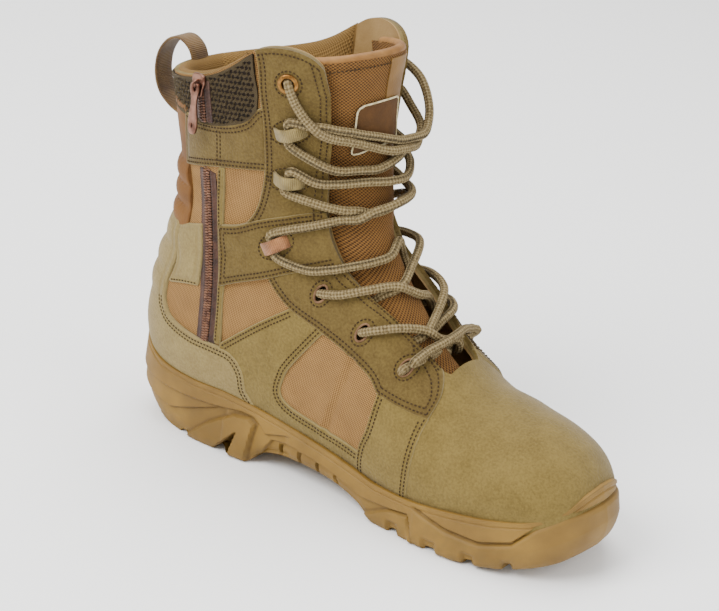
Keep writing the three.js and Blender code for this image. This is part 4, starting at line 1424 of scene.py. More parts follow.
    def edge_rows(self, sewing: Stitching, body: Body, side: Side) -> None:
        """The double rows down the facing's front edge and along the rim."""
        at = np.linspace(6.75, 17.1, 420)
        for inset in self.edge_insets:
            y = throat_half(at) + inset
            place, angle = throat_place(at, y, side)
            spot = surface(place, angle)
            keep = spot[:, 2] < rim_height(spot[:, 0]) - 2
            strap = np.interp(at, [11.3, 11.4, 12.8, 12.9], [0.0, 1.15, 1.15, 0.0])
            out, _ = outward(place, angle)
            for run in true_runs(keep):
                path = spot[run] + out[run] * (2.0 + strap[run] + creases(spot[run]))[:, None]
                sewing.sew(body, path, out[run])
            line = smooth_line(RIM, 0.8)
            line = line[(line[:, 0] > -60) & (line[:, 0] < -25)]
            sewing.side_row(body, line - [0, inset], side, self.facing_lift)
        seam = smooth_line([(-83.2, 187), (-83.4, 166.5)], 0.8)
        for shift in (-1.1, 1.1):
            sewing.side_row(body, seam + [shift, 0], side, 1.5)

    def eyelet_rows(self, sewing: Stitching, body: Body, side: Side) -> None:
        """The ring of stitches round every lacing point."""
        for kind, at, angle in lacing_places():
            centre, across, along, out = lacing_frame(at, angle, side)
            slant = hole_slant(across, along, side)
            rise = np.cross(out, slant)
            long, short = SEWN_OVALS[kind]
            turn = np.linspace(0, 2 * math.pi, 90)
            ring = centre + (slant * np.cos(turn)[:, None] * long
                             + rise * np.sin(turn)[:, None] * short)
            x_z = ring[:, [0, 2]]
            place, degrees = side_place(x_z[:, 0], x_z[:, 1], side)
            normal, _ = outward(place, degrees)
            over_strap = kind is Lacing.LOOP and at < 14
            lift = 3.2 if over_strap else 2.05
            spot = surface(place, degrees)
            sewing.sew(body, spot + normal * (lift + creases(spot))[:, None], normal)


# ---- the sole ----------------------------------------------------------------------------------
@dataclass
class SoleUnit:
    """The moulded sole with its rand, sculpted wall and lugged tread.

    Args:
        stations: places along the sole.
        knee_levels: rows round the wall's lower edge.
        wall_levels: rows up the wall.
        across: points across the tread and the bed.
        grooves: the tread's cross grooves: middle, width and depth.
        ribs: the shank's ribs: foot and lean.
        zigzag: the pitch and the depth of the cuts in the tread.
        line_upper, line_lower: the heel's ledges in side view.
        toe_line, shank_line: the forefoot's groove and the waist's edge.
        lug, notch, front_lug: the raised heel lug, the cut behind it and the lug by the ball.
    """

    stations: int = 380
    knee_levels: int = 9
    wall_levels: int = 58
    across: int = 40
    grooves: tuple = ((-101, 6, 4), (-73, 9, 5), (50, 6, 5), (75, 7, 5), (98, 6, 6), (119, 5, 8))
    ribs: tuple = ((-33, 0.15), (-19, 0.1), (-6, 0.0), (7, -0.1))
    zigzag: Point = (14.0, 3.2)
    line_upper: tuple = ((-152, 33), (-132, 27.5), (-120, 26.7), (-102, 25.8), (-80, 26.8),
                         (-59, 29.6), (-51, 29.3), (-45, 25.6), (-42, 22), (-30, 25.5), (-24, 26.7))
    line_lower: tuple = ((-152, 23), (-132, 17.6), (-119, 15.3), (-111, 13.8), (-98, 18),
                         (-85, 22.6), (-69.5, 28.3))
    toe_line: tuple = ((62, 21), (83.5, 16.3), (103, 15.6), (120, 20.5), (130, 31), (141, 38), (150, 41))
    shank_line: tuple = ((-45, 9), (-38, 19.5), (-24, 21.5), (-8, 20), (10, 17), (28, 12.5),
                         (46.6, 14), (59.4, 16), (66, -2))
    lug: tuple = ((-98, -2), (-98, 1.6), (-83, 14.7), (-64, 26.4), (-53.6, 27.8), (-49, 25),
                  (-51, 16.7), (-54, -2))
    notch: tuple = ((-80, -2), (-67, -2), (-60.5, 17.5))
    front_lug: tuple = ((29, 4), (46.6, 13), (59.4, 14.5), (66, -3), (29, -3))

    def table(self) -> Array:
        """The sole's stations, even round its edge, heel to toe."""
        fine = blend_rows(SOLE, np.linspace(0, len(SOLE) - 1, 1600))
        step = np.hypot(np.diff(fine[:, 0]), np.diff(fine[:, 1]))
        travel = np.concatenate([[0], np.cumsum(step)])
        want = np.linspace(0, travel[-1], self.stations)
        rows = np.stack([np.interp(want, travel, column) for column in fine.T], 1)
        rows[rows[:, 4] < 0.4, 4] = 0
        return rows

    def groove(self, x: Array) -> Array:
        """How far the tread's cross grooves lift its face at places along the sole."""
        rise = np.zeros_like(x)
        for middle, width, depth in self.grooves:
            rise = np.maximum(rise, depth * near(x - middle, width * 0.3, width * 0.5))
        return rise

    def relief(self, flat: Array) -> tuple[Array, Array]:
        """The wall's sculpture in side view.

        Args:
            flat: the points (x, z) of the plain wall.

        Returns:
            How far each point moves outward, and how much painted shade darkens it, from 0 to 1,
            in its grooves and ledges and where the rand meets the upper.
        """
        x, z = flat.T
        above = [z - np.interp(x, *np.array(line).T) for line in
                 (self.line_upper, self.line_lower, self.shank_line, self.toe_line)]
        upper, lower, shank, toe = above
        heel, behind = fall(x, -30, -24), fall(x, -72, -69)
        waist, fore = ramp(x, -50, -44) * fall(x, 60, 64), ramp(x, 61, 65)
        lug, notch, front = (outline_distance(flat, np.array(shape)) for shape in
                             (self.lug, self.notch, self.front_lug))
        moved = -1.7 * heel * fall(upper, -0.7, 0.3) - 1.9 * behind * fall(lower, -0.7, 0.3)
        moved -= 2.2 * waist * fall(shank, -1.0, 0.5)
        moved -= 1.6 * fore * near(toe, 0.4, 1.3)
        moved += 0.9 * fore * fall(toe, -3.0, -0.6)
        moved += 3.0 * fall(lug, -1.2, 0.2) - 9.0 * fall(notch, -1.6, 0.2)
        moved += 2.0 * fall(front, -1.6, 0.4)
        low = fall(shank, -2.6, -1.6)
        # Painted shade along the ledges, the toe groove, the lugs' edges, the notch and the ribs.
        dark = [heel * near(upper + 0.3, 0.3, 1.0), behind * near(lower + 0.3, 0.3, 1.0),
                waist * near(shank + 0.4, 0.3, 1.0), fore * near(toe, 0.3, 1.0),
                near(lug - 0.5, 0.3, 1.1), fall(notch, -0.8, 0.6), near(front - 0.6, 0.3, 1.0)]
        for middle, lean in self.ribs:
            rib = x - middle - lean * (z - 15)
            moved -= 2.4 * near(rib, 0.6, 1.2) * low * waist
            dark.append(near(rib, 0.5, 1.1) * low * waist)
        for middle, width, depth in self.grooves[2:]:
            moved -= 2.6 * near((x - middle) / width, 0.35, 0.75) * fall(z, depth, depth + 3.5)
        rand = sole_top(x) - z
        moved -= 0.55 * near(rand - 3.4, 0.2, 0.9) * (rand > 0)
        # Painted shade where the rand meets the upper.
        dark.append(fall(rand, 0.3, 1.0))
        return moved, np.max(dark, axis=0)

    def build(self) -> None:
        """Makes the sole."""
        rows = self.table()
        ends = len(rows) - 1
        loop = np.concatenate([np.arange(len(rows)), np.arange(ends - 1, 0, -1)])
        station = rows[loop]
        y = np.where(np.arange(len(loop)) <= ends, station[:, 1], station[:, 2])
        edge = np.stack([station[:, 0], y], 1)
        ahead, behind = np.roll(edge, -1, 0), np.roll(edge, 1, 0)
        run = unit(ahead - behind)
        inward = np.stack([run[:, 1], -run[:, 0]], 1)
        for _ in range(3):
            inward = unit(inward + np.roll(inward, 1, 0) + np.roll(inward, -1, 0))
        top, bottom, tuck, knee, lean = station[:, 3:].T
        groove = self.groove(station[:, 0])
        levels = []
        for t in np.linspace(0, 1, self.knee_levels):
            turn = t * math.pi / 2
            height = bottom + knee * (1 - math.cos(turn))
            levels.append((tuck * (1 - math.sin(turn)), np.maximum(height, bottom + groove * (1 - t))))
        for t in np.linspace(0, 1, self.wall_levels)[1:]:
            levels.append((lean * t, bottom + knee + (top - 0.6 - bottom - knee) * t))
        wall = len(levels)
        levels += [(lean + 0.25, top - 0.15), (lean + 0.8, top), (lean + 2.0, top - 0.1),
                   (lean + 4.2, top - 0.9), (lean + 5.0, top - 9)]
        points, dark = [], []
        for index, (inset, height) in enumerate(levels):
            sculpt, groove_shade = self.relief(np.stack([edge[:, 0], height], 1))
            fade = min(1.0, index / 4) * (index < wall)
            moved = edge + inward * (inset - sculpt * fade)[:, None]
            points.append(np.stack([moved[:, 0], moved[:, 1], height], 1))
            dark.append(groove_shade * fade)
        grid = np.array(points)
        # The chart's third value carries the painted shade of the grooves, ledges and rand joint.
        chart = np.concatenate([grid[..., :2], np.array(dark)[..., None]], -1)
        n = len(loop)
        body = Body()
        faces = grid_faces(len(levels), n, wrap=True)[:, ::-1]
        body.add(grid, faces, chart)
        self.close(body, grid[0], len(rows), tread=True)
        self.close(body, grid[-1], len(rows), tread=False)
        piece = body.build("rubber_sole", RUBBER, sharp=38)
        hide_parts("sole")

    def close(self, body: Body, ring: Array, stations: int, tread: bool) -> None:
        """Closes the tread or the hidden bed with a surface across the sole.

        Args:
            body: the sole's mesh.
            ring: the loop that it meets.
            stations: how many of its points lie on the outer side.
            tread: True for the tread, with its lugs, and False for the bed.
        """
        outer = ring[1:stations - 1]
        inner = ring[:stations - 1:-1][:len(outer)]
        share = np.linspace(0, 1, self.across)[None, :, None]
        sheet = outer[:, None] * (1 - share) + inner[:, None] * share
        if tread:
            x, y = sheet[..., 0], sheet[..., 1]
            edge = np.minimum(share[..., 0], 1 - share[..., 0]) * np.abs(outer - inner)[:, 1:2]
            pitch, depth = self.zigzag
            zigzag = (x + 6 * np.abs(np.sin(y * 0.16))) % pitch - pitch / 2
            sheet[..., 2] += depth * (near(zigzag, 1.0, 2.2) * ramp(edge, 6, 9))
        faces = grid_faces(len(outer), self.across)
        if not tread:
            faces = faces[:, ::-1]
        body.add(sheet, faces, sheet * [1, 1, 0])
        for tip, row in ((ring[0], 0), (ring[stations - 1], len(outer) - 1)):
            points = np.concatenate([tip[None], sheet[row]])
            fan = [[0, k + 1, k + 2] for k in range(self.across - 1)]
            if (row == 0) == tread:
                fan = [f[::-1] for f in fan]
            body.add(points, np.array(fan), points * [1, 1, 0])


# ---- tongue, lacing, zip and loop ----------------------------------------------------------------
@dataclass
class Tongue:
    """The padded tongue with its bound top edge and blank label."""

    low: float = 5.5
    high: float = 16.85
    rows: int = 190
    columns: int = 90
    overlap: float = 9.0
    pad: float = 6.0
    skin: float = WALL + 0.9
    binding_radius: float = 2.7
    strip_low: float = 12.6
    label_at: float = 14.3
    label_rise: float = 1.02
    label_half: float = 15.0
    label_shift: float = -5.0
    label_corner: float = 3.0

    @staticmethod
    def crown(share: Array, z: Array) -> Array:
        """How far the padding swells, by the share of the half width and the height."""
        return 0.9 * (1 - share**2) + 0.35 * np.sin(z * 0.19) * (1 - share**4)

    def reach(self, at: Array, share: Array | float = -1.0) -> Array:
        """The tongue's half width in degrees round the form, on the side that share is on."""
        row = blend_rows(SECTIONS, at)
        aside = ramp(10.9 - np.asarray(at), 0, 1.6) * (np.asarray(share) > 0)
        half = throat_half(at) + self.overlap - 14 * aside
        share = np.minimum(half / row[..., 5], 0.93)
        return np.degrees(np.arcsin(share ** (row[..., 8] / 2)))

    def build(self) -> None:
        """Makes the tongue, its binding and its label."""
        at = np.linspace(self.low, self.high, self.rows)[:, None]
        share = np.linspace(-1, 1, self.columns)[None, :]
        at, share = np.broadcast_arrays(at, share)
        angle = self.reach(at, share) * share
        spot, (out, _) = surface(at, angle), outward(at, angle)
        edge = np.clip((1 - np.abs(share)) * 4, 0, 1)
        z = spot[..., 2]
        top = -self.skin - 2.2 * ramp(np.abs(share), 0.62, 0.95) + self.crown(share, z) * 0.6
        top = top - 0.8 * (1 - edge)
        top = top - ramp(at, 16.2, self.high)
        top = top - 8.0 * ramp(share, -0.2, 0.8) * ramp(10.9 - at, 0, 1.8)
        pad = self.pad * np.clip(ramp(at, 5.0, 8.0) + 0.4, 0.4, 1) * np.sqrt(np.maximum(edge, 0.12))
        up = spot + out * top[..., None]
        low = spot + out * (top - pad)[..., None]
        chart = edgeless_chart(angle * 0.7, z)
        body = Body()
        add_sheet(body, up, low, chart)
        piece = body.build("tongue_pad", TONGUE_CLOTH, sharp=60)
        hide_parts("tongue")
        self.binding(up[-1], low[-1])
        self.facing_strip()
        self.label()

    def binding(self, up: Array, low: Array) -> None:
        """The rolled leather binding over the tongue's top edge."""
        middle = (up + low) / 2
        body = Body()
        sweep(body, smooth_line(middle[::6], 1.5), ring_profile(self.binding_radius, 16), taper=True)
        body.build("tongue_binding", BINDING_LEATHER, sharp=70)
        sewing, rows = Stitching(), Body()
        at = np.full(60, self.high - 0.24)
        angle = np.linspace(-0.93, 0.93, 60) * self.reach(at)
        out, _ = outward(at, angle)
        sewing.sew(rows, surface(at, angle) - out * (self.skin - 0.4), out)
        rows.build("tongue_stitches", THREAD)

    def facing_strip(self) -> None:
        """The smooth leather strip down the tongue's outer part."""
        at, share = np.meshgrid(np.linspace(self.strip_low, self.high - 0.1, 60), np.linspace(0, 1, 24),
                                indexing="ij")
        angle = -4.0 + (self.reach(at) * 0.9 + 4.0) * share
        spot, (out, _) = surface(at, angle), outward(at, angle)
        part = np.abs(angle) / self.reach(at)
        lift = (-self.skin - 2.2 * ramp(part, 0.62, 0.95) + self.crown(part, spot[..., 2]) * 0.6 + 0.75
                - 0.9 * ramp(at, 16.2, self.high))[..., None]
        body = Body()
        chart = edgeless_chart(spot[..., 1], spot[..., 2])
        add_sheet(body, spot + out * lift, spot + out * (lift - 1.1), chart)
        body.build("tongue_side_strip", TONGUE_LEATHER, sharp=60)

    def label(self) -> None:
        """The blank label sewn to the tongue, with its pale border."""
        rise, across = np.meshgrid(np.linspace(-1, 1, 30), np.linspace(-1, 1, 30), indexing="ij")
        at, corner = self.label_at + rise * self.label_rise, self.label_corner
        drop = np.clip(np.abs(rise) * 13 - (13 - corner), 0, corner)
        half = self.label_half - corner + np.sqrt(corner**2 - drop**2)
        y = across * half + self.label_shift
        _, angle = throat_place(at, np.abs(y), Side.OUTER)
        angle = angle * np.sign(y)
        spot, (out, _) = surface(at, angle), outward(at, angle)
        lift = -self.skin + 1.9
        body = Body()
        add_sheet(body, spot + out * lift, spot + out * (lift - 1.4), edgeless_chart(y, spot[..., 2]))
        body.build("tongue_label", LABEL, sharp=60)
        face = spot + out * (lift + 0.1)
        ring = np.concatenate([face[0], face[1:, -1], face[-1, -2::-1], face[-2:0:-1, 0], face[0, :1]])
        border = Body()
        sweep(border, ring, ring_profile(0.5, 6))
        border.build("label_border", PALE_THREAD)


# How each strand runs from its lacing point to the next row: section, angle and lift.
COURSES = [
    {Side.INNER: [(15.96, -58, 5), (15.3, -51, 7.5), (14.7, -42, 6.5), (14.25, -32, 4), (13.6, -20, 2),
     (12.9, -5, 3), (12.95, 10, 6), (13.5, 24, 11), (14.3, 36, 13), (15.0, 47, 11), (15.6, 56, 7)],
     Side.OUTER: [(16.3, 56, 9), (15.9, 46, 13), (15.2, 38, 16), (14.4, 32, 16), (13.7, 24, 12),
     (13.3, 10, 5), (13.6, -5, 1.5), (13.95, -15, 1), (14.5, -31, 2.4), (14.95, -43, 4.4),
     (15.2, -51, 4.6)]},
    {Side.INNER: [(13.9, -49, 4.6), (13.1, -38, 3.4), (12.55, -26, 1.2), (12.15, -14, 0.4),
     (12.3, 4, 0.6), (12.8, 22, 3), (13.4, 38, 5.4), (13.8, 50, 5)],
     Side.OUTER: [(14.1, 50, 5), (13.2, 36, 6.5), (12.2, 22, 6.5), (11.45, 8, 5), (11.4, -7, 2.6),
     (11.8, -21, 1.0), (12.45, -37, 2.6), (13.0, -47, 4.6)]},
    {Side.INNER: [(12.1, -45, 4.4), (11.45, -37, 2.6), (10.8, -28, 1.0), (10.45, -16, 0.6),
     (10.4, 0, 1.4), (10.8, 22, 4.5), (11.4, 42, 5.4)],
     Side.OUTER: [(12.6, 46, 5), (11.6, 32, 6), (10.7, 14, 5.5), (10.45, -5, 4), (10.55, -20, 1.6),
     (11.05, -37, 2.6), (11.45, -47, 4.6)]},
    {Side.INNER: [(10.5, -56, 4.8), (10.05, -49, 4.6), (9.65, -40, 2.6), (9.2, -27, 0.4),
     (9.0, -14, -0.5), (9.2, 2, -2), (9.1, 24, -6), (9.0, 42, -6)],
     Side.OUTER: [(10.6, 52, 5), (9.9, 40, 5.4), (9.2, 26, 4.6), (8.5, 4, -1.5), (8.3, -16, -1.0),
     (8.5, -30, -3), (8.8, -42, -5.8)]},
    {Side.INNER: [(9.35, -50, 4.8), (8.9, -39, 4.2), (8.4, -22, 2.2), (7.95, -6, 0.5), (7.9, 12, -3),
     (8.0, 34, -6)],
     Side.OUTER: [(9.2, 50, 5), (8.6, 38, 5.2), (8.0, 26, 4.4), (7.5, 5, -1.5), (7.35, -14, -1.5),
     (7.45, -28, -3.4), (7.55, -38, -5.8)]},
    {Side.INNER: [(8.15, -44, 4.8), (7.8, -33, 4.2), (7.45, -19, 2.4), (7.15, -8, 0.5), (7.05, 10, -3),
     (7.1, 26, -6)],
     Side.OUTER: [(8.15, 43, 4.8), (7.85, 34, 4.6), (7.6, 25, 3.0), (7.4, 10, -2.5), (7.3, -6, -4.5),
     (7.25, -22, -6), (7.25, -32, -6.5)]},
]
# The bar across the lowest holes, in the same way.
BAR = [(7.25, 38, 4.8), (7.22, 30, 4.8), (7.15, 18, 4.4), (7.05, 4, 4.2), (7.05, -12, 4.6),
       (7.15, -26, 4.9), (7.2, -36, 4.8)]


@dataclass
class Lacework:
    """The lace, its webbing loops and its ring eyelets."""

    radius: float = LACE_RADIUS
    loop_width: float = 7.2
    loop_thickness: float = 1.3
    strap_row: int = 3
    ring_lift: float = 1.95

    def frame_at(self, row: int, side: Side) -> tuple[Array, ...]:
        """A lacing point's place and directions."""
        _, at, angle = lacing_places()[row]
        return lacing_frame(at, angle, side)

    def lay(self, course: Sequence[tuple[float, float, float]]) -> list[Array]:
        """Points above the form, from rows of section, angle and lift."""
        return [raised(*place) for place in course]

    def strand(self, row: int, side: Side) -> list[Array]:
        """The lace from one lacing point to the next one down, on the other side."""
        kind, next_kind = LACING[row][0], LACING[row + 1][0]
        centre, _, along, out = self.frame_at(row, side)
        start = ([centre - out * 5.0, centre + out * 1.8] if kind is not Lacing.LOOP
                 else [centre - along * 6.5 + out * 4.4])
        middle = self.lay(COURSES[row][side])
        if next_kind is Lacing.HOLE:
            return start + middle
        end, _, up, away = self.frame_at(row + 1, Side(-side.value))
        return start + middle + [end + up * 6.5 + away * 4.4, end + away * 3.4]

    def chain(self, side: Side) -> list[Array]:
        """One end of the lace from its top eyelet to the lowest hole."""
        points = [self.frame_at(0, side)[0] - self.frame_at(0, side)[3] * 9]
        for row in range(len(LACING) - 1):
            points += self.strand(row, side)
            side = Side(-side.value)
        return points

    def settle(self, line: Array) -> Array:
        """Pushes apart the parts of the lace that would run into each other."""
        index = np.arange(len(line))
        apart = np.abs(index[:, None] - index[None]) > 14
        for _ in range(30):
            gap = line[:, None] - line[None]
            away = np.linalg.norm(gap, axis=2) + 1e-6
            close = apart & (away < 2 * self.radius)
            weight = np.where(close, 2 * self.radius - away, 0.0)
            push = (gap * (weight / away)[..., None]).sum(1) / np.maximum(close.sum(1), 1)[:, None]
            for _ in range(4):
                push[1:-1] = 0.5 * push[1:-1] + 0.25 * (push[2:] + push[:-2])
            line = line + 0.7 * push
        return line

    def lace(self) -> None:
        """The whole lace, down one way, across the lowest holes and up the other."""
        down, up = self.chain(Side.INNER), self.chain(Side.OUTER)
        last = len(LACING) - 1
        end = Side.INNER if (last % 2 == 0) else Side.OUTER
        first, _, _, out_first = self.frame_at(last, end)
        second, _, _, out_second = self.frame_at(last, Side(-end.value))
        course = [(at, -angle * end.value, lift) for at, angle, lift in BAR]
        bar = [first - out_first * 5, first + out_first * 1.8] + self.lay(course)
        bar += [second + out_second * 1.5, second - out_second * 5]
        line = self.settle(smooth_line(np.array(down + bar + up[::-1]), 1.2))
        body = Body()
        sweep(body, line, ring_profile(self.radius, 14))
        piece = body.build("lace", LACE, sharp=80)
        crossings = [f"lace_crossing_{row + 1}" for row in range(last)]
        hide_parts(*crossings, "lace_bar")

    def build(self) -> None:
        """Makes the lace, the loops and the eyelets."""
        self.lace()
        for side in BOTH:
            for row, (kind, _, _) in enumerate(LACING):
                if kind is Lacing.LOOP:
                    self.loop(row, side, f"lace_loop_{side.name.lower()}_{row}")
                elif kind is Lacing.RING:
                    self.ring(row, side, f"eyelet_{side.name.lower()}")

    def loop(self, row: int, side: Side, node: str) -> None:
        """A webbing band sewn into slots, arched over the lace."""
        centre, across, along, out = self.frame_at(row, side)
        base = 1.4 if row == self.strap_row else 0.4
        arch = [(-9.0, -1.2), (-7.6, 1.8 + base), (-4.6, 5.4 + base * 0.5), (0, 7.3), (4.6, 5.4),
                (7.6, 1.8 + base), (9.0, -1.2)]
        tilt = unit(across * -side.value * 0.97 + along * 0.22)
        line = smooth_line([centre + tilt * a + out * b for a, b in arch], 0.8)
        middle = centre + out * -2
        body = Body()
        sweep(body, line, strap_profile(self.loop_width, self.loop_thickness), up=unit(line - middle))
        finish = TAN_WEBBING if row == self.strap_row else WEBBING
        piece = body.build(f"webbing_{node}", finish, sharp=60)
        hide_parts(node)

    def ring(self, row: int, side: Side, node: str) -> None:
        """A pressed ring eyelet."""
        centre, across, _, out = self.frame_at(row, side)
        profile = np.array([(2.7, -1.5), (3.1, 0.2), (3.4, 0.9), (4.1, 1.25), (4.9, 1.1), (5.5, 0.6),
                            (5.7, 0.1), (5.5, -0.3), (3.4, -0.3), (3.2, -1.5)])
        turn = np.linspace(0, 2 * math.pi, 49)[:-1]
        rings = (centre + out * self.ring_lift
                 + across * np.cos(turn)[:, None, None] * profile[None, :, :1]
                 + np.cross(out, across) * np.sin(turn)[:, None, None] * profile[None, :, :1]
                 + out * profile[None, :, 1:])
        n = len(profile)
        faces = grid_faces(len(turn) + 1, n, wrap=True) % (len(turn) * n)
        body = Body()
        body.add(rings, faces)
        piece = body.build(f"ring_{node}", BRASS, sharp=60)
        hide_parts(node)


@dataclass
class SideZip:
    """The zip on the inner side: tape, teeth, slider and pull tab."""

    line: tuple = ((-82.5, 62), (-81.8, 85), (-82.2, 103), (-84, 123), (-86.8, 145), (-89.6, 165),
                   (-92.5, 186), (-94.6, 202), (-95.4, 212))
    shift: float = -4.6
    half: float = 6.2
    tooth_pitch: float = 1.5
    tooth_length: float = 2.9
    tooth_radius: float = 0.72
    tooth_shift: float = 1.15
    slider_at: Point = (-95.2, 209)
    width: float = 8.4
    height: float = 11.0
    thickness: float = 3.0
    arch: float = 1.5
    bar: float = 1.1
    tab_width: float = 5.6
    tab_length: float = 26.0

    def course(self, step: float) -> Array:
        """The zip's middle line in side view: behind its facing below, under the slider above."""
        line = smooth_line(self.line, step)
        line[:, 0] += self.shift * (1 - ramp(line[:, 1], 150, 200))
        return line

    def strip(self, offsets: Array, lift: Array, step: float) -> tuple[Array, ...]:
        """A grid of points laid along the zip, and their outward directions."""
        line = self.course(step)
        tangent = unit(np.gradient(line, axis=0))
        across = np.stack([tangent[:, 1], -tangent[:, 0]], 1)
        flat = line[:, None] + across[:, None] * offsets[None, :, None]
        at, angle = side_place(flat[..., 0], flat[..., 1], Side.INNER)
        spot, (out, _) = surface(at, angle), outward(at, angle)
        hidden = ramp(flat[..., 1], 160, 164) * (1 - ramp(flat[..., 1], 186.5, 190))
        height = lift - 2.4 * hidden + 1.1 * ramp(flat[..., 1], 186.5, 190)
        return spot + out * height[..., None], out

    def build(self) -> None:
        """Makes the zip's pieces."""
        offsets = np.linspace(-self.half, self.half, 19)
        fold = 0.35 + 0.5 * np.exp(-((np.abs(offsets) - 3.2) / 0.9) ** 2)
        top, out = self.strip(offsets, fold, 1.2)
        chart = edgeless_chart(offsets[None, :], np.arange(len(top))[:, None] * 1.2)
        body = Body()
        add_sheet(body, top, top - out * 0.9, chart)
        piece = body.build("zip_tape", ZIP_TAPE)
        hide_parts("zip_chain")
        self.teeth()
        self.slider()
        self.tab()

    def teeth(self) -> None:
        """Two rows of moulded teeth that mesh in the middle."""
        body, tooth = Body(), Stitching(length=self.tooth_length, radius=self.tooth_radius)
        shape, faces = tooth.stitch()
        for k, offset in enumerate((-self.tooth_shift, self.tooth_shift)):
            place, out = self.strip(np.array([offset, offset + 0.1]), np.array([1.15, 1.15]),
                                    self.tooth_pitch / 2)
            place, side, out = place[k::2], unit(place[:, 1] - place[:, 0])[k::2], out[k::2, 0]
            repeat_shape(body, shape * [1, 0.75, 1], faces, place[:, 0], (side, np.cross(out, side), out))
        body.build("zip_teeth", ZIP_TEETH, sharp=60)

    def frame(self) -> tuple[Array, ...]:
        """The slider's hinge point and its side, up and outward directions."""
        at, angle = side_place(np.array(self.slider_at[0]), np.array(self.slider_at[1]), Side.INNER)
        out, _ = outward(at, angle)
        level = unit(out * [1, 1, 0])
        side = np.cross([0, 0, 1], level)
        pivot = surface(at, angle) + level * (0.8 + self.thickness + self.arch)
        return pivot, side, np.array([0, 0, 1.0]), level

    def plate(self, body: Body, outlines: Sequence[Sequence[Point]], thickness: float,
              bevel: float, depth: float) -> None:
        """Adds a flat plate with rounded edges, drawn in the slider's (side, up) plane.

        Args:
            body: the mesh it joins.
            outlines: its outline, then its openings.
            thickness: its whole thickness.
            bevel: the radius of its rounded edges.
            depth: how far its middle lies outward from the hinge.
        """
        curve = bpy.data.curves.new("plate", "CURVE")
        curve.dimensions, curve.fill_mode = "2D", "BOTH"
        curve.extrude, curve.bevel_depth, curve.bevel_resolution = thickness / 2 - bevel, bevel, 3
        for outline in outlines:
            spline = curve.splines.new("POLY")
            spline.points.add(len(outline) - 1)
            spline.use_cyclic_u = True
            for point, (x, y) in zip(spline.points, outline):
                point.co = (x, y, 0, 1)
        piece = bpy.data.objects.new("plate", curve)
        bpy.context.scene.collection.objects.link(piece)
        mesh = piece.to_mesh(depsgraph=bpy.context.evaluated_depsgraph_get())
        flat = np.array([vertex.co[:] for vertex in mesh.vertices])
        faces = [list(polygon.vertices) for polygon in mesh.polygons]
        piece.to_mesh_clear()
        bpy.data.objects.remove(piece)
        pivot, side, up, level = self.frame()
        points = (pivot + side * flat[:, :1] + up * flat[:, 1:2] + level * (flat[:, 2:] + depth))
        start = body.count
        body.add(points, np.zeros((0, 3), int))
        body.faces.extend([[index + start for index in face] for face in faces])
        body.slots.extend([0] * len(faces))

    def slider(self) -> None:
        """The slider: a waisted plate over the teeth with a bridge for the tab."""
        w, h = self.width / 2, self.height / 2
        half = [(0.45 * w, h), (0.9 * w, h * 0.86), (w, h * 0.45), (0.86 * w, 0), (0.66 * w, -h * 0.5),
                (0.62 * w, -h * 0.9), (0.4 * w, -h)]
        outline = mirrored(half)
        body = Body()
        middle = -self.arch - 0.9
        self.plate(body, [closed_line(outline, 0.6)], 1.8, 0.6, middle)
        small = [(x * 0.8, y * 0.8) for x, y in outline]
        self.plate(body, [closed_line(small, 0.6)], 1.4, 0.4, middle - 1.6)
        pivot, _, up, level = self.frame()
        reach = self.arch + self.bar / 2
        bridge = [(-reach * 1.25, -self.arch - 0.6), (-reach * 1.1, 0.2), (-reach * 0.7, reach * 0.8),
                  (0, reach * 1.0), (reach * 0.7, reach * 0.8), (reach * 1.1, 0.2),
                  (reach * 1.25, -self.arch - 0.6)]
        line = smooth_line([pivot + up * a + level * b for a, b in bridge], 0.4)
        sweep(body, line, ring_profile(0.62, 12, 0.85))
        piece = body.build("zip_slider_body", BRONZE, sharp=50)
        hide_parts("zip_slider")

    def tab(self) -> None:
        """The pull tab: a long waisted plate that hangs from the slider's bridge."""
        w, n = self.tab_width / 2, self.tab_length
        half = [(0.6 * w, 0.8), (w, -0.2), (w, -3.2), (0.62 * w, -6.5), (0.55 * w, -10), (0.8 * w, -14.5),
                (w, -19), (w, -n + 3.5), (0.8 * w, -n + 1), (0.35 * w, -n)]
        outline = mirrored(half)
        eye = [(-1.5, -0.75), (-1.6, -2.4), (-0.8, -3.6), (0.8, -3.6), (1.6, -2.4), (1.5, -0.75)]
        dimple = [(0.9 * math.cos(a), -n + 4.2 + 1.9 * math.sin(a)) for a in
                  np.linspace(0, 2 * math.pi, 17)[:-1]]
        body = Body()
        self.plate(body, [closed_line(outline, 0.7), eye, dimple], 1.5, 0.45, 0)
        piece = body.build("pull_tab", BRONZE, sharp=50, body=TAB_BODY)
        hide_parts("zip_pull_tab")


@dataclass
class PullLoop:
    """The webbing loop behind the collar."""

    line: tuple = ((-133.2, 189), (-135.2, 201), (-138.8, 210), (-146.5, 214.3), (-154.5, 211.5),
                   (-160.3, 203), (-161.6, 192), (-158.2, 182), (-150.5, 175.5), (-141.5, 171.5),
                   (-137.2, 166))
    width: float = 14.0
    thickness: float = 1.5

    def build(self) -> None:
        """Makes the loop."""
        flat = smooth_line(self.line, 1.2)
        line = np.stack([flat[:, 0], np.zeros(len(flat)), flat[:, 1]], 1)
        tangent = unit(np.gradient(line, axis=0))
        up = np.cross(tangent, [0, 1, 0])
        body = Body()
        sweep(body, line, strap_profile(self.width, self.thickness), up=up)
        piece = body.build("webbing_pull_loop", LOOP_TAPE, sharp=60)
        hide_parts("pull_loop")


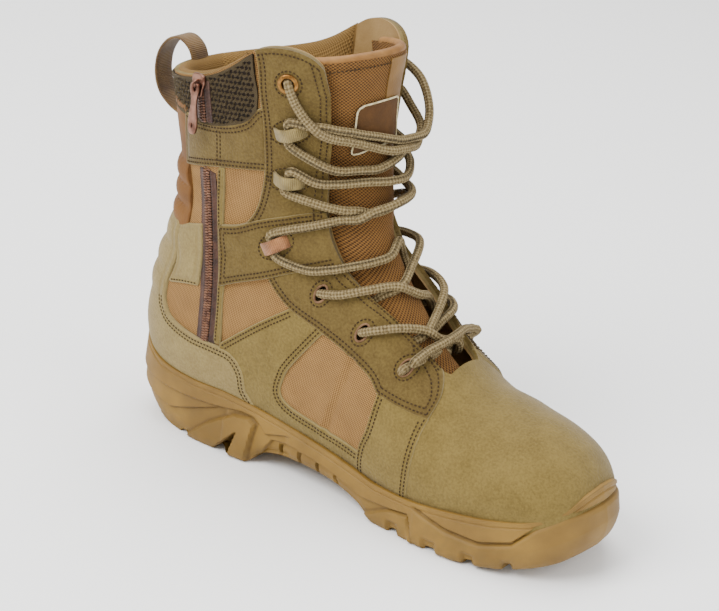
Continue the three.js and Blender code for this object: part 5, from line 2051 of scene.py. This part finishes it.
# ---- the studio --------------------------------------------------------------------------------
@dataclass
class Studio:
    """The camera, the lights and the floor.

    Args:
        azimuth, elevation, roll: the camera's direction, in degrees.
        distance: from its target, in mm.
        lens: its focal length on a 36 mm sensor.
        target: the point it looks at, in the row's frame, in mm.
        sky: the strength of the even light all round.
        floor_reach: how far the floor goes each way, in metres.
    """

    azimuth: float = 33.5
    elevation: float = 22.5
    roll: float = 6.0
    distance: float = 1145.0
    lens: float = 107.9
    target: tuple[float, float, float] = (-1.2, -12.0, 102.0)
    sky: float = 0.95
    floor_reach: float = 6.0

    def camera(self) -> None:
        """Makes the scene's camera."""
        a, e, r = (math.radians(v) for v in (self.azimuth, self.elevation, self.roll))
        back = Vector((math.sin(a) * math.cos(e), -math.cos(a) * math.cos(e), math.sin(e)))
        right = Vector((math.cos(a), math.sin(a), 0))
        up = back.cross(right)
        side = right * math.cos(r) + up * math.sin(r)
        rise = up * math.cos(r) - right * math.sin(r)
        data = bpy.data.cameras.new("studio_camera")
        data.lens, data.sensor_width = self.lens, 36
        data.clip_start, data.clip_end = 0.05, 20
        camera = bpy.data.objects.new("studio_camera", data)
        place = (Vector(self.target) + back * self.distance) * MM
        camera.matrix_world = Matrix((
            (side.x, rise.x, back.x, place.x), (side.y, rise.y, back.y, place.y),
            (side.z, rise.z, back.z, place.z), (0, 0, 0, 1)))
        bpy.context.scene.collection.objects.link(camera)
        bpy.context.scene.camera = camera

    def light(self, name: str, place: tuple[float, float, float], size: float, watts: float) -> None:
        """A square soft light that faces the boot."""
        data = bpy.data.lights.new(name, "AREA")
        data.shape, data.size, data.energy = "SQUARE", size, watts
        lamp = bpy.data.objects.new(name, data)
        lamp.location = place
        aim = Vector((0, 0, 0.1)) - Vector(place)
        lamp.rotation_euler = aim.to_track_quat("-Z", "Y").to_euler()
        bpy.context.scene.collection.objects.link(lamp)

    def build(self) -> None:
        """Sets up the studio."""
        self.camera()
        self.light("key_softbox", (-0.5, -1.3, 1.5), 1.2, 56)
        self.light("fill_softbox", (1.7, 0.1, 1.0), 1.4, 20)
        self.light("top_softbox", (-0.4, 0.5, 1.9), 1.4, 34)
        world = bpy.data.worlds.new("studio_world")
        world.use_nodes = True
        background = world.node_tree.nodes["Background"].inputs
        background["Color"].default_value = (1, 1, 1, 1)
        background["Strength"].default_value = self.sky
        bpy.context.scene.world = world
        mesh = bpy.data.meshes.new("floor")
        reach = self.floor_reach
        mesh.from_pydata([(-reach, -reach, 0), (reach, -reach, 0), (reach, reach, 0),
                          (-reach, reach, 0)], [], [(0, 1, 2, 3)])
        floor = bpy.data.objects.new("floor", mesh)
        material = bpy.data.materials.new("painted_floor")
        material.use_nodes = True
        shader = material.node_tree.nodes["Principled BSDF"]
        shader.inputs["Base Color"].default_value = linear("#fbfbfa")
        shader.inputs["Roughness"].default_value = 0.9
        mesh.materials.append(material)
        bpy.context.scene.collection.objects.link(floor)


def dress_insole() -> None:
    """Gives the footbed that shows inside its cloth."""
    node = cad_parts["insole"]
    node.data.materials.clear()
    node.data.materials.append(INSOLE_CLOTH.material())


def main() -> None:
    """Builds the boot and the studio."""
    logging.basicConfig(level=logging.INFO, format="%(name)s %(message)s")
    Studio().build()
    SoleUnit().build()
    Upper().build()
    Tongue().build()
    Lacework().build()
    SideZip().build()
    PullLoop().build()
    dress_insole()


if __name__ == "__main__":
    main()
